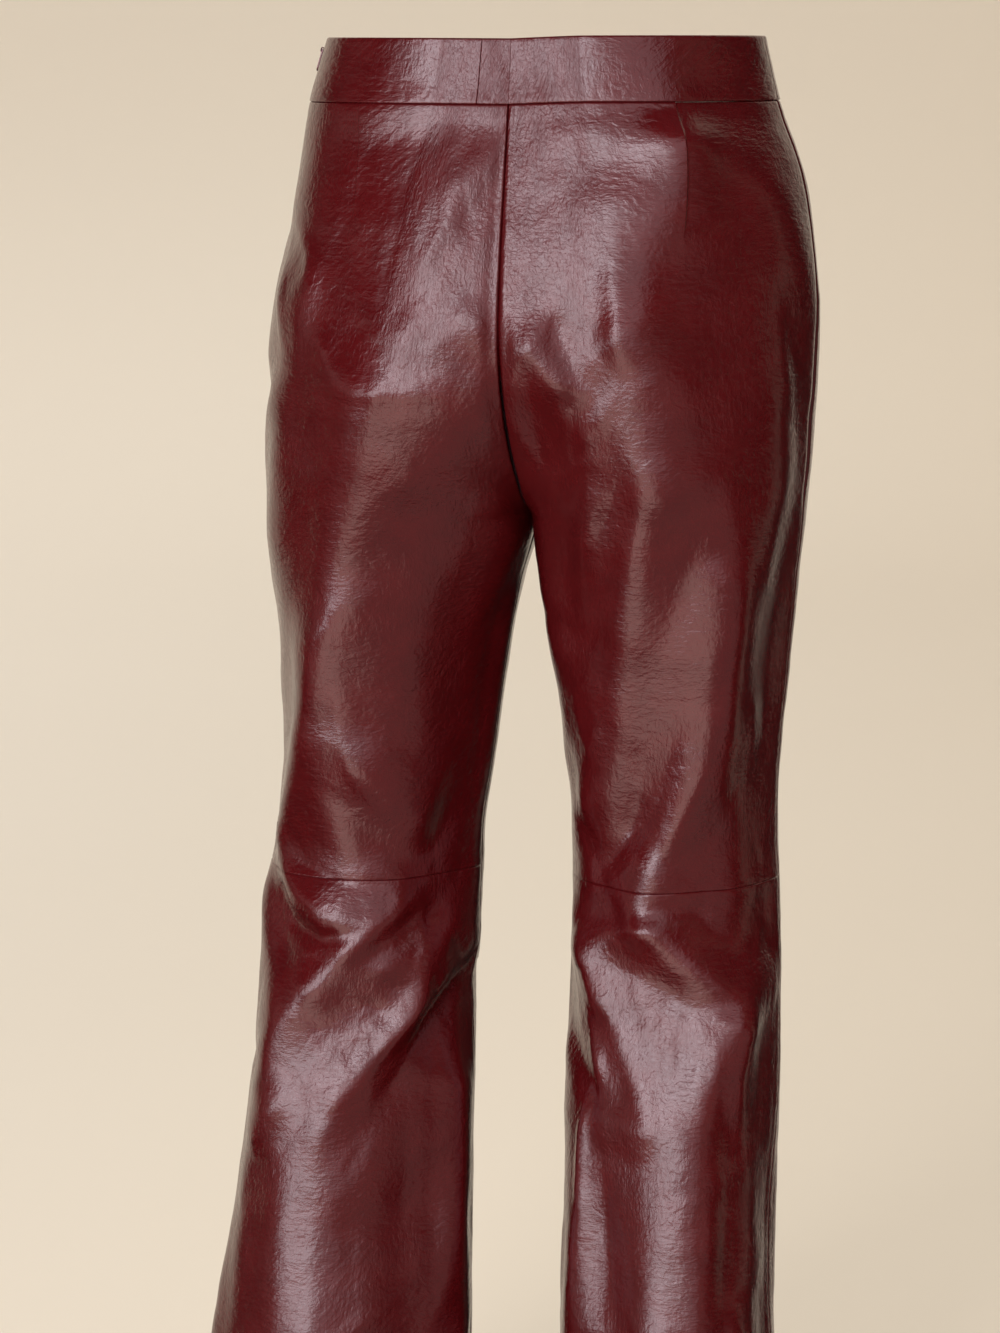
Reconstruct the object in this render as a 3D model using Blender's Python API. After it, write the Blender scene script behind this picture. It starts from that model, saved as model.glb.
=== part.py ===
"""Flared faux leather trousers, hollow and upright as they hang when worn.

Frame: metres, +Z up. The origin is the middle of the waist opening, level with
the top edge of the waistband at the back. The seat is towards +Y and the front
towards -Y, so the wearer's left leg is on the +X side.

Each half of the garment is one surface. `around` runs from 0 at the seat seam
(the inseam, lower down), over 1 at the back crown, 2 at the side seam and 3 at
the front crown, to 4 at the front seam (again the inseam, lower down). Heights
run down from the waist. Folds are laid on that surface, and every panel is a
piece of it, made a wall.
"""

import math
from collections import namedtuple

import bmesh
import bpy
import numpy as np
from mathutils import Matrix

# ---------------------------------------------------------------- sizes, in m
CLOTH_WALL = 0.0014
BAND_WALL = 0.0024
BAND_PROUD = 0.0007
SEAM_GAP = 0.0004

BAND_SEAM_HEIGHT = -0.042
CROTCH_HEIGHT = -0.312
KNEE_SEAM_HEIGHT = -0.556
HEM_HEIGHT = -1.060
FRONT_WAIST_DIP = 0.012
RIGHT_WAIST_LIFT = 0.003
WAIST_SHIFT_END = -0.250
WAIST_SHIFT_SPAN = 0.180
SEAT_CURVE_RISE = 0.140
FRONT_CURVE_RISE = 0.125
SHALLOWEST_SEAM = 0.16
SEAT_TO_THIGH = (-0.385, -0.215)
SEAM_PULL = 4
BAND_JOIN = 0.42

ZIP_TOP = -0.003
ZIP_END = -0.200
TAPE_WIDTH = 0.028
TAPE_WALL = 0.0010
TAPE_DEPTH = 0.0028

SLIDER_HEIGHT = -0.0090
SLIDER_SIZE = (0.0018, 0.0048, 0.0076)
BAIL_WIDTH = 0.0012
BAIL_REACH = 0.0034
BAIL_TALL = 0.0036
BAIL_OPENING = 0.0018
PULL_BAR = 0.0005
PULL_CLEARANCE = 0.0004
PULL_SLOT = (0.0020, 0.0030)
PULL_LENGTH = 0.0150
PULL_TOP_WIDTH = 0.0036
PULL_END_WIDTH = 0.0052
PULL_WALL = 0.0010
PULL_ROUND_STEPS = 10

# Places round one half of the garment, in quarters of its girth.
SEAT_SEAM, BACK, SIDE, FRONT, FRONT_SEAM = 0.0, 1.0, 2.0, 3.0, 4.0
QUARTER_ARC = 0.125
NUDGE = 0.002

LEFT, RIGHT = 1, -1
SIDE_NAMES = {LEFT: "left", RIGHT: "right"}

# One row for each section of a leg. outer, inner and crown are distances from
# the middle plane of the garment; back, front, middle and inseam lie along Y.
Section = namedtuple("Section", "height outer inner crown back front middle inseam")
SECTIONS = {
    LEFT: (
        Section(0.000, 0.1413, 0.0000, 0.045, 0.100, -0.098, 0.002, 0.002),
        Section(-0.042, 0.1533, 0.0000, 0.050, 0.109, -0.105, 0.003, 0.003),
        Section(-0.090, 0.1610, 0.0000, 0.062, 0.122, -0.112, 0.005, 0.006),
        Section(-0.142, 0.1766, 0.0000, 0.072, 0.136, -0.117, 0.008, 0.010),
        Section(-0.200, 0.1840, 0.0000, 0.082, 0.144, -0.116, 0.010, 0.014),
        Section(-0.260, 0.1850, 0.0000, 0.090, 0.137, -0.111, 0.010, 0.016),
        Section(-0.312, 0.1825, 0.0000, 0.094, 0.122, -0.104, 0.008, 0.016),
        Section(-0.362, 0.1825, 0.0122, 0.098, 0.110, -0.099, 0.005, 0.013),
        Section(-0.420, 0.1818, 0.0235, 0.102, 0.100, -0.095, 0.001, 0.008),
        Section(-0.483, 0.1818, 0.0332, 0.107, 0.086, -0.091, -0.002, 0.002),
        Section(-0.524, 0.1833, 0.0405, 0.111, 0.076, -0.088, -0.004, -0.003),
        Section(-0.565, 0.1889, 0.0425, 0.115, 0.073, -0.086, -0.004, -0.004),
        Section(-0.610, 0.1915, 0.0438, 0.118, 0.079, -0.081, -0.001, -0.001),
        Section(-0.690, 0.1967, 0.0465, 0.122, 0.088, -0.078, 0.004, 0.004),
        Section(-0.780, 0.2085, 0.0475, 0.128, 0.095, -0.080, 0.007, 0.007),
        Section(-0.876, 0.2247, 0.0485, 0.137, 0.101, -0.084, 0.008, 0.008),
        Section(-1.060, 0.2540, 0.0470, 0.151, 0.110, -0.094, 0.008, 0.008),
    ),
    RIGHT: (
        Section(0.000, 0.1472, 0.0000, 0.045, 0.100, -0.098, 0.002, 0.002),
        Section(-0.042, 0.1572, 0.0000, 0.050, 0.109, -0.105, 0.003, 0.003),
        Section(-0.090, 0.1745, 0.0000, 0.062, 0.122, -0.112, 0.005, 0.006),
        Section(-0.142, 0.1826, 0.0000, 0.072, 0.136, -0.117, 0.008, 0.010),
        Section(-0.200, 0.1850, 0.0000, 0.082, 0.144, -0.116, 0.010, 0.014),
        Section(-0.260, 0.1830, 0.0000, 0.088, 0.137, -0.111, 0.010, 0.016),
        Section(-0.312, 0.1780, 0.0000, 0.090, 0.122, -0.104, 0.008, 0.016),
        Section(-0.362, 0.1724, 0.0050, 0.090, 0.110, -0.099, 0.005, 0.013),
        Section(-0.420, 0.1664, 0.0133, 0.090, 0.100, -0.095, 0.001, 0.008),
        Section(-0.483, 0.1600, 0.0192, 0.090, 0.086, -0.091, -0.002, 0.002),
        Section(-0.524, 0.1587, 0.0224, 0.0905, 0.076, -0.088, -0.004, -0.003),
        Section(-0.565, 0.1606, 0.0220, 0.0915, 0.073, -0.086, -0.004, -0.004),
        Section(-0.610, 0.1615, 0.0210, 0.092, 0.079, -0.081, -0.001, -0.001),
        Section(-0.690, 0.1631, 0.0195, 0.0925, 0.090, -0.080, 0.004, 0.004),
        Section(-0.780, 0.1633, 0.0205, 0.093, 0.100, -0.086, 0.007, 0.007),
        Section(-0.876, 0.1610, 0.0175, 0.090, 0.109, -0.093, 0.008, 0.008),
        Section(-1.060, 0.1640, 0.0100, 0.088, 0.128, -0.112, 0.008, 0.008),
    ),
}

# One row for each large fold. It runs on a bowed line from one place to another.
# rise is its height over the cloth, or its depth where it is less than 0, and
# each reach is how far it spreads to the left or right of the way it runs.
Fold = namedtuple("Fold", "side around height to_around to_height bow rise left_reach right_reach")
FOLDS = (
    # seat and thighs, at the back
    Fold(LEFT, 0.33, -0.102, 0.76, -0.159, 0.007, 0.004, 0.030, 0.030),
    Fold(LEFT, 0.53, -0.187, 1.08, -0.299, 0.022, 0.006, 0.035, 0.035),
    Fold(LEFT, 1.08, -0.299, 1.18, -0.460, 0.004, 0.005, 0.035, 0.035),
    Fold(RIGHT, 0.97, -0.133, 1.08, -0.252, 0.000, 0.004, 0.040, 0.040),
    Fold(RIGHT, 0.58, -0.217, 0.59, -0.273, -0.004, -0.008, 0.025, 0.030),
    Fold(RIGHT, 1.08, -0.252, 0.91, -0.425, 0.000, 0.007, 0.035, 0.040),
    Fold(RIGHT, 0.77, -0.293, 0.45, -0.398, 0.009, 0.005, 0.020, 0.020),
    Fold(RIGHT, 1.30, -0.318, 1.07, -0.418, 0.008, 0.005, 0.030, 0.030),
    Fold(LEFT, 1.72, -0.218, 1.95, -0.252, 0.000, -0.004, 0.018, 0.018),
    # back of the left knee: ridges that meet in a point, and the deep fold below
    Fold(LEFT, 1.16, -0.480, 0.26, -0.531, -0.003, 0.006, 0.030, 0.020),
    Fold(LEFT, 1.28, -0.586, 0.70, -0.579, 0.001, 0.009, 0.014, 0.030),
    Fold(LEFT, 0.97, -0.608, 0.20, -0.543, 0.004, 0.009, 0.018, 0.018),
    Fold(LEFT, 0.97, -0.608, 1.46, -0.690, 0.007, 0.010, 0.020, 0.040),
    Fold(LEFT, 0.58, -0.578, 0.90, -0.604, 0.002, -0.007, 0.020, 0.020),
    Fold(LEFT, 0.23, -0.595, 0.86, -0.623, 0.005, 0.005, 0.020, 0.020),
    Fold(LEFT, 0.14, -0.625, 0.90, -0.708, 0.005, -0.009, 0.020, 0.030),
    Fold(LEFT, 0.53, -0.631, 0.99, -0.700, -0.009, 0.009, 0.050, 0.020),
    # back of the right knee: one long ridge, and the facet that hangs from it
    Fold(RIGHT, 0.54, -0.533, 0.92, -0.525, 0.007, 0.008, 0.020, 0.020),
    Fold(RIGHT, 1.33, -0.446, 0.93, -0.545, 0.009, 0.008, 0.025, 0.018),
    Fold(RIGHT, 0.93, -0.545, 0.91, -0.579, -0.006, 0.008, 0.025, 0.020),
    Fold(RIGHT, 0.91, -0.579, 1.54, -0.647, -0.002, 0.009, 0.040, 0.018),
    Fold(RIGHT, 0.44, -0.606, 1.39, -0.642, 0.007, -0.005, 0.020, 0.020),
    Fold(RIGHT, 1.54, -0.647, 1.36, -0.700, 0.000, 0.008, 0.020, 0.030),
    Fold(RIGHT, 0.42, -0.613, 0.93, -0.699, 0.003, -0.008, 0.015, 0.020),
    # flutes of the flare, at the back
    Fold(LEFT, 1.06, -0.722, 1.02, -1.050, -0.003, 0.008, 0.040, 0.040),
    Fold(LEFT, 0.29, -0.632, 0.26, -0.900, 0.000, 0.006, 0.022, 0.022),
    Fold(LEFT, 0.61, -0.736, 0.55, -1.050, -0.001, -0.006, 0.030, 0.030),
    Fold(RIGHT, 1.05, -0.665, 1.10, -1.050, 0.002, 0.009, 0.040, 0.040),
    Fold(RIGHT, 0.68, -0.715, 0.70, -1.050, -0.004, -0.005, 0.030, 0.030),
    Fold(RIGHT, 1.52, -0.695, 1.55, -1.050, -0.001, -0.005, 0.030, 0.030),
    # the front: creases out from the crotch, over the knees and down the flare
    Fold(LEFT, 3.80, -0.300, 2.90, -0.262, 0.006, 0.005, 0.022, 0.022),
    Fold(RIGHT, 3.80, -0.296, 3.00, -0.250, -0.006, 0.005, 0.022, 0.022),
    Fold(LEFT, 3.70, -0.345, 2.85, -0.420, 0.008, 0.005, 0.030, 0.022),
    Fold(RIGHT, 3.72, -0.338, 2.95, -0.400, 0.008, 0.005, 0.030, 0.022),
    Fold(LEFT, 3.55, -0.520, 2.60, -0.548, 0.006, 0.006, 0.020, 0.028),
    Fold(RIGHT, 3.45, -0.512, 2.55, -0.550, -0.005, 0.006, 0.020, 0.028),
    Fold(LEFT, 2.55, -0.600, 3.40, -0.655, 0.006, 0.008, 0.030, 0.020),
    Fold(RIGHT, 2.50, -0.596, 3.35, -0.664, -0.004, 0.008, 0.030, 0.020),
    Fold(LEFT, 3.10, -0.670, 3.00, -1.050, 0.004, 0.009, 0.042, 0.042),
    Fold(RIGHT, 2.90, -0.680, 2.95, -1.050, -0.004, 0.009, 0.042, 0.042),
    Fold(LEFT, 3.55, -0.720, 3.60, -1.050, 0.000, -0.006, 0.030, 0.030),
    Fold(RIGHT, 3.45, -0.730, 3.50, -1.050, 0.000, -0.006, 0.030, 0.030),
)
FOLD_STEPS = 8
CREST_ROUNDING = 0.25
FOOT_EASE = 1.4
END_TAPER = 0.30
END_SHARE = 0.40
MERGE_POWER = 3.0
SEAM_HOLD = 0.30
SEAM_HOLD_FADE = 0.030

# Rows of points down the panels. They lie closer where the cloth bends most.
CROTCH_ROWS = tuple(
    CROTCH_HEIGHT + SEAT_CURVE_RISE * (1 - math.cos(turn)) for turn in (0.95, 0.72, 0.50, 0.30, 0.14)
)
UPPER_ROWS = (
    (BAND_SEAM_HEIGHT, -0.064, -0.090, -0.118, -0.146, -0.178, -0.208, -0.234)
    + CROTCH_ROWS
    + (CROTCH_HEIGHT, -0.330, -0.352, -0.378, -0.406, -0.434, -0.460, -0.482, -0.502, -0.520, -0.538)
    + (KNEE_SEAM_HEIGHT,)
)
LOWER_ROWS = (
    (KNEE_SEAM_HEIGHT, -0.570, -0.583, -0.596, -0.610, -0.624, -0.640, -0.657, -0.675, -0.694)
    + (-0.716, -0.742, -0.775, -0.815, -0.865, -0.920, -0.985, HEM_HEIGHT)
)
BAND_ROWS = (0.0, -0.014, -0.028, BAND_SEAM_HEIGHT)
TAPE_ROWS = (ZIP_TOP,) + BAND_ROWS[1:] + tuple(row for row in UPPER_ROWS[1:] if row > ZIP_END) + (ZIP_END,)
PANEL_COLUMNS = 14
BAND_COLUMNS_A_QUARTER = 9
TAPE_COLUMNS = 2

Finish = namedtuple("Finish", "colour roughness metallic")
LEATHER = Finish((0.118, 0.016, 0.022, 1.0), 0.30, 0.0)
TAPE = Finish((0.050, 0.010, 0.014, 1.0), 0.85, 0.0)
ENAMEL = Finish((0.070, 0.012, 0.016, 1.0), 0.35, 0.6)

COLLECTION_NAME = "flared_trousers"
GUIDES_NAME = "guides"


# ------------------------------------------------------------- the surface
def smooth_step(value):
    """0 below 0, 1 above 1, and a smooth rise between."""
    value = np.clip(value, 0.0, 1.0)
    return value * value * (3 - 2 * value)


def between_rows(rows, height):
    """The columns of a section table at these heights, on a curve that never overshoots."""
    heights = np.array([row.height for row in rows])[::-1]
    steps = np.diff(heights)
    height = np.clip(np.asarray(height, float), heights[0], heights[-1])
    at = np.clip(np.searchsorted(heights, height) - 1, 0, len(steps) - 1)
    part = (height - heights[at]) / steps[at]
    square, cube = part * part, part * part * part
    found = {}
    for column in rows[0]._fields[1:]:
        values = np.array([getattr(row, column) for row in rows])[::-1]
        slopes = np.diff(values) / steps
        tangents = np.concatenate([slopes[:1], (slopes[:-1] + slopes[1:]) / 2, slopes[-1:]])
        tangents[1:-1][slopes[:-1] * slopes[1:] <= 0] = 0
        found[column] = (
            (2 * cube - 3 * square + 1) * values[at]
            + (cube - 2 * square + part) * steps[at] * tangents[at]
            + (3 * square - 2 * cube) * values[at + 1]
            + (cube - square) * steps[at] * tangents[at + 1]
        )
    return namedtuple("Here", found)(**found)


def inner_turn(height, rise, share):
    """How far an inner quarter turns before the middle plane: a right angle at the crotch and below.

    The seam, at a share of 1, climbs round the crotch in a quarter of an ellipse. The cloth
    beside it passes from thigh to seat more gently.
    """
    climb = np.clip((height - CROTCH_HEIGHT) / rise, 0.0, 1.0)
    steepest = math.cos(SHALLOWEST_SEAM)
    seam = np.arccos(np.sqrt(1 - (1 - climb) ** 2) * steepest)
    low, high = SEAT_TO_THIGH
    beside = np.arccos(smooth_step((height - low) / (high - low)) * steepest)
    return beside + (seam - beside) * share**SEAM_PULL


def plain_section(side, around, height):
    """X and Y of the garment without its folds."""
    here = between_rows(SECTIONS[side], height)
    at_back = around < SIDE
    crown_y = np.where(at_back, here.back, here.front)
    from_crown = np.where(at_back, around - BACK, FRONT - around)
    inward = from_crown < 0
    turn = inner_turn(height, np.where(at_back, SEAT_CURVE_RISE, FRONT_CURVE_RISE), np.abs(from_crown))
    angle = np.abs(from_crown) * np.where(inward, turn, math.pi / 2)
    inner_x = here.crown - (here.crown - here.inner) * np.sin(angle) / np.sin(turn)
    outer_x = here.crown + (here.outer - here.crown) * np.sin(angle)
    centre_y = np.where(inward, here.inseam, here.middle)
    x = side * np.where(inward, inner_x, outer_x)
    y = centre_y + (crown_y - centre_y) * np.cos(angle)
    return x, y


def fold_share(fold, around, height):
    """How much of a fold's rise each place has, from 0 to 1."""
    start = np.array([fold.around * QUARTER_ARC, fold.height])
    run = np.array([fold.to_around * QUARTER_ARC, fold.to_height]) - start
    across = np.array([-run[1], run[0]]) / np.hypot(run[0], run[1])
    along = np.linspace(0, 1, FOLD_STEPS + 1)
    path = start + np.outer(along, run) + np.outer(4 * fold.bow * along * (1 - along), across)
    place = np.stack([around * QUARTER_ARC, height], axis=-1)
    nearest = np.full(place.shape[:-1], np.inf)
    travelled = np.zeros(place.shape[:-1])
    for step in range(FOLD_STEPS):
        stretch = path[step + 1] - path[step]
        apart = place - path[step]
        share = np.clip(apart @ stretch / (stretch @ stretch), 0, 1)
        apart = apart - share[..., None] * stretch
        on_left = stretch[0] * apart[..., 1] > stretch[1] * apart[..., 0]
        reach = np.where(on_left, fold.left_reach, fold.right_reach)
        distance = np.hypot(apart[..., 0], apart[..., 1]) / reach
        closer = distance < nearest
        nearest = np.where(closer, distance, nearest)
        travelled = np.where(closer, (step + share) / FOLD_STEPS, travelled)
    crest = 1 + CREST_ROUNDING - np.hypot(nearest, CREST_ROUNDING)
    ends = smooth_step(travelled / END_TAPER) * smooth_step((1 - travelled) / END_TAPER)
    return np.clip(crest, 0, 1) ** FOOT_EASE * (END_SHARE + (1 - END_SHARE) * ends)


def fold_height(side, around, height):
    """How far the folds lift the cloth off the plain form."""
    joined = smooth_step((height - CROTCH_HEIGHT) / SEAM_HOLD_FADE + 1)
    raised = np.zeros(around.shape)
    sunk = np.zeros(around.shape)
    for fold in FOLDS:
        if fold.side != side:
            continue
        share = fold_share(fold, around, height)
        round_inseam = FRONT_SEAM if fold.around < SIDE else -FRONT_SEAM
        share = np.maximum(share, fold_share(fold, around - round_inseam, height) * (1 - joined))
        lift = (abs(fold.rise) * share) ** MERGE_POWER
        raised += lift * (fold.rise > 0)
        sunk += lift * (fold.rise < 0)
    from_seam = np.minimum(around - SEAT_SEAM, FRONT_SEAM - around)
    free = 1 - joined * (1 - smooth_step(from_seam / SEAM_HOLD))
    return (raised ** (1 / MERGE_POWER) - sunk ** (1 / MERGE_POWER)) * free


def waist_shift(side, around, height):
    """How far the waist lies lower at the front, and higher at the wearer's right side."""
    dip = FRONT_WAIST_DIP * smooth_step((around - BACK) / (FRONT_SEAM - BACK))
    lift = RIGHT_WAIST_LIFT * np.sin(around * math.pi / FRONT_SEAM) * (side == RIGHT)
    return (lift - dip) * smooth_step((height - WAIST_SHIFT_END) / WAIST_SHIFT_SPAN)


def surface(side, around, height, out=0.0):
    """Points of the garment, moved out from its cloth by `out`. The last axis is X, Y, Z."""
    around, height = np.broadcast_arrays(np.asarray(around, float), np.asarray(height, float))
    x, y = plain_section(side, around, height)
    before_x, before_y = plain_section(side, np.maximum(around - NUDGE, SEAT_SEAM), height)
    after_x, after_y = plain_section(side, np.minimum(around + NUDGE, FRONT_SEAM), height)
    run_x, run_y = after_x - before_x, after_y - before_y
    length = np.hypot(run_x, run_y)
    normal_x, normal_y = -side * run_y / length, side * run_x / length
    lift = fold_height(side, around, height)
    from_middle = np.maximum(side * (x + normal_x * lift), SEAM_GAP / 2)
    from_middle = np.maximum(from_middle + side * normal_x * out, SEAM_GAP / 2)
    y = y + normal_y * (lift + out)
    return np.stack([side * from_middle, y, height + waist_shift(side, around, height)], axis=-1)


# ------------------------------------------------------------- making solids
def clear_scene():
    """Remove every object, and give back the collections for the parts and their guides."""
    for old in list(bpy.data.objects):
        bpy.data.objects.remove(old, do_unlink=True)
    made = []
    for name in (COLLECTION_NAME, GUIDES_NAME):
        collection = bpy.data.collections.new(name)
        bpy.context.scene.collection.children.link(collection)
        made.append(collection)
    return made


def material_for(name, finish):
    """A Principled material with this part's colour and gloss."""
    material = bpy.data.materials.new(name)
    material.use_nodes = True
    shader = material.node_tree.nodes["Principled BSDF"]
    shader.inputs["Base Color"].default_value = finish.colour
    shader.inputs["Roughness"].default_value = finish.roughness
    shader.inputs["Metallic"].default_value = finish.metallic
    return material


def add_object(name, data, finish, collection):
    """An object of this name in the collection, with its own material."""
    made = bpy.data.objects.new(name, data)
    if finish:
        data.materials.append(material_for(name, finish))
    collection.objects.link(made)
    return made


def add_wall(name, stations, rows, outer, inner, finish, collection):
    """A flat slab bent to the garment: its two faces lie `outer` and `inner` off the cloth's surface."""
    columns = len(stations) - 1
    slab = bmesh.new()
    bmesh.ops.create_grid(slab, x_segments=columns, y_segments=len(rows) - 1, size=1)
    extruded = bmesh.ops.extrude_face_region(slab, geom=slab.faces[:], use_keep_orig=True)
    far_side = {item for item in extruded["geom"] if isinstance(item, bmesh.types.BMVert)}
    heights = np.array(rows)
    faces = [
        np.stack([surface(side, around, heights, out) for side, around in stations])
        for out in (outer, inner)
    ]
    for vertex in slab.verts:
        column = round((vertex.co.x + 1) / 2 * columns)
        row = round((1 - vertex.co.y) / 2 * (len(rows) - 1))
        vertex.co = faces[vertex in far_side][column, row]
    bmesh.ops.recalc_face_normals(slab, faces=slab.faces[:])
    mesh = bpy.data.meshes.new(name)
    slab.to_mesh(mesh)
    slab.free()
    mesh.shade_smooth()
    mesh.set_sharp_from_angle(angle=math.radians(50))
    return add_object(name, mesh, finish, collection)


def trimmed(rows):
    """The rows of a panel, drawn back from the seams at its upper and lower edges."""
    return (rows[0] - SEAM_GAP / 2,) + tuple(rows[1:-1]) + (rows[-1] + SEAM_GAP / 2,)


def add_panels(collection):
    """The eight panels: back and front of each leg, above and below the knee seam."""
    seam = SEAM_GAP / 2 / QUARTER_ARC
    edges = {"back": (SEAT_SEAM + seam, SIDE - seam), "front": (SIDE + seam, FRONT_SEAM - seam)}
    parts = {"upper": trimmed(UPPER_ROWS), "lower": trimmed(LOWER_ROWS)}
    for part, rows in parts.items():
        for face, (first, last) in edges.items():
            for side, side_name in SIDE_NAMES.items():
                stations = [(side, around) for around in np.linspace(first, last, PANEL_COLUMNS + 1)]
                add_wall(f"{part}_{face}_{side_name}", stations, rows, 0.0, -CLOTH_WALL, LEATHER, collection)


def band_stations(first, last):
    """Stations along the waistband, from one (side, around) place to another."""
    count = max(1, round(abs(last[1] - first[1]) * BAND_COLUMNS_A_QUARTER))
    return [(first[0], around) for around in np.linspace(first[1], last[1], count + 1)]


def add_waistband(collection):
    """Three strips: they meet at the zip, at an upright join at the back and at the right side."""
    seam = SEAM_GAP / 2 / QUARTER_ARC
    strips = {
        "waistband_back_left": band_stations((LEFT, SIDE - seam), (LEFT, BAND_JOIN + seam)),
        "waistband_back_right": band_stations((LEFT, BAND_JOIN - seam), (LEFT, SEAT_SEAM))
        + band_stations((RIGHT, SEAT_SEAM), (RIGHT, SIDE - seam))[1:],
        "waistband_front": band_stations((RIGHT, SIDE + seam), (RIGHT, FRONT_SEAM))[:-1]
        + band_stations((LEFT, FRONT_SEAM), (LEFT, SIDE + seam)),
    }
    rows = BAND_ROWS[:-1] + (BAND_SEAM_HEIGHT + SEAM_GAP / 2,)
    for name, stations in strips.items():
        add_wall(name, stations, rows, BAND_PROUD, BAND_PROUD - BAND_WALL, LEATHER, collection)


def add_zip_tape(collection):
    """The tape of the hidden zip, inside the left side seam."""
    half = TAPE_WIDTH / 2 / QUARTER_ARC
    stations = [(LEFT, around) for around in np.linspace(SIDE - half, SIDE + half, TAPE_COLUMNS + 1)]
    add_wall("zip_tape", stations, TAPE_ROWS, -TAPE_DEPTH, -TAPE_DEPTH - TAPE_WALL, TAPE, collection)


def zip_frame():
    """Where the pull hangs: its bar's middle, with local X out from the cloth and Z up along it."""
    above, below = surface(LEFT, SIDE, np.array([0.0, BAND_SEAM_HEIGHT]), BAND_PROUD)
    lean = math.atan2(below[0] - above[0], above[2] - below[2])
    here = surface(LEFT, SIDE, SLIDER_HEIGHT, BAND_PROUD)
    turn = Matrix.Rotation(-lean, 4, "Y")
    stand = SEAM_GAP + SLIDER_SIZE[0] + PULL_CLEARANCE + PULL_BAR
    return Matrix.Translation(here) @ turn @ Matrix.Translation((stand, 0, 0))


def add_block(name, size, middle, frame, finish, collection):
    """A box of this size, with its middle at a place in the zip's frame."""
    bpy.ops.mesh.primitive_cube_add(size=1)
    block = bpy.context.object
    block.name = name
    block.data.name = name
    block.data.transform(frame @ Matrix.Translation(middle) @ Matrix.Diagonal((*size, 1)))
    if finish:
        block.data.materials.append(material_for(name, finish))
    for old in list(block.users_collection):
        old.objects.unlink(block)
    collection.objects.link(block)
    return block


def add_slider(frame, collection, guides):
    """The slider's body, with the bail that the pull hangs from."""
    body_middle = -(PULL_BAR + PULL_CLEARANCE + SLIDER_SIZE[0] / 2)
    slider = add_block("zip_slider", SLIDER_SIZE, (body_middle, 0, 0), frame, ENAMEL, collection)
    bail_size = (BAIL_REACH, BAIL_WIDTH, BAIL_TALL)
    bail_middle = (BAIL_OPENING / 2 + PULL_CLEARANCE - BAIL_REACH / 2 + PULL_BAR, 0, 0)
    bail = add_block("bail_shape", bail_size, bail_middle, frame, None, guides)
    opening_size = (BAIL_OPENING, 2 * BAIL_WIDTH, BAIL_OPENING)
    opening = add_block("bail_opening", opening_size, (0, 0, 0), frame, None, guides)
    for guide, operation in ((bail, "UNION"), (opening, "DIFFERENCE")):
        guide.hide_render = True
        guide.display_type = "WIRE"
        cut = slider.modifiers.new(guide.name, "BOOLEAN")
        cut.operation = operation
        cut.object = guide


def add_spline(curve, points):
    """A closed run of straight edges on a flat curve."""
    spline = curve.splines.new("POLY")
    spline.points.add(len(points) - 1)
    for point, (across, up) in zip(spline.points, points):
        point.co = (across, up, 0, 1)
    spline.use_cyclic_u = True


def add_pull(frame, collection):
    """The pull: a flat drop with a slot at its top, for the bail."""
    end_radius = PULL_END_WIDTH / 2
    end_middle = PULL_BAR + end_radius - PULL_LENGTH
    drop = [(-PULL_TOP_WIDTH / 2, PULL_BAR), (PULL_TOP_WIDTH / 2, PULL_BAR)]
    for step in range(PULL_ROUND_STEPS + 1):
        turn = math.pi * step / PULL_ROUND_STEPS
        drop.append((end_radius * math.cos(turn), end_middle - end_radius * math.sin(turn)))
    slot_half, slot_end = PULL_SLOT[0] / 2, -PULL_SLOT[1]
    slot = [(-slot_half, -PULL_BAR), (slot_half, -PULL_BAR), (slot_half, slot_end), (-slot_half, slot_end)]
    curve = bpy.data.curves.new("zip_pull", "CURVE")
    curve.dimensions = "2D"
    curve.fill_mode = "BOTH"
    curve.extrude = PULL_WALL / 2
    add_spline(curve, drop)
    add_spline(curve, slot)
    pull = add_object("zip_pull", curve, ENAMEL, collection)
    stand_up = Matrix(((0, 0, 1, 0), (1, 0, 0, 0), (0, 1, 0, 0), (0, 0, 0, 1)))
    pull.matrix_world = frame @ stand_up


def main():
    """Build the trousers."""
    collection, guides = clear_scene()
    add_panels(collection)
    add_waistband(collection)
    add_zip_tape(collection)
    frame = zip_frame()
    add_slider(frame, collection, guides)
    add_pull(frame, collection)


main()
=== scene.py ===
"""The looks of a pair of flared faux leather trousers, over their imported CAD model.

Frame: metres, +Z up. The origin is the middle of the waist opening, the seat is
towards +Y and the wearer's left leg is on the +X side. Each half of the garment
is one surface: `around` runs from 0 at the seat seam, over 1 at the back crown,
2 at the side seam and 3 at the front crown, to 4 at the front seam, and heights
run down from the waist.
"""

import logging
import math
from dataclasses import dataclass, field
from enum import Enum, IntEnum
from typing import Iterable, NamedTuple, Optional, Sequence

import bmesh
import bpy
import numpy as np
from mathutils import Matrix, Vector, noise


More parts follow.
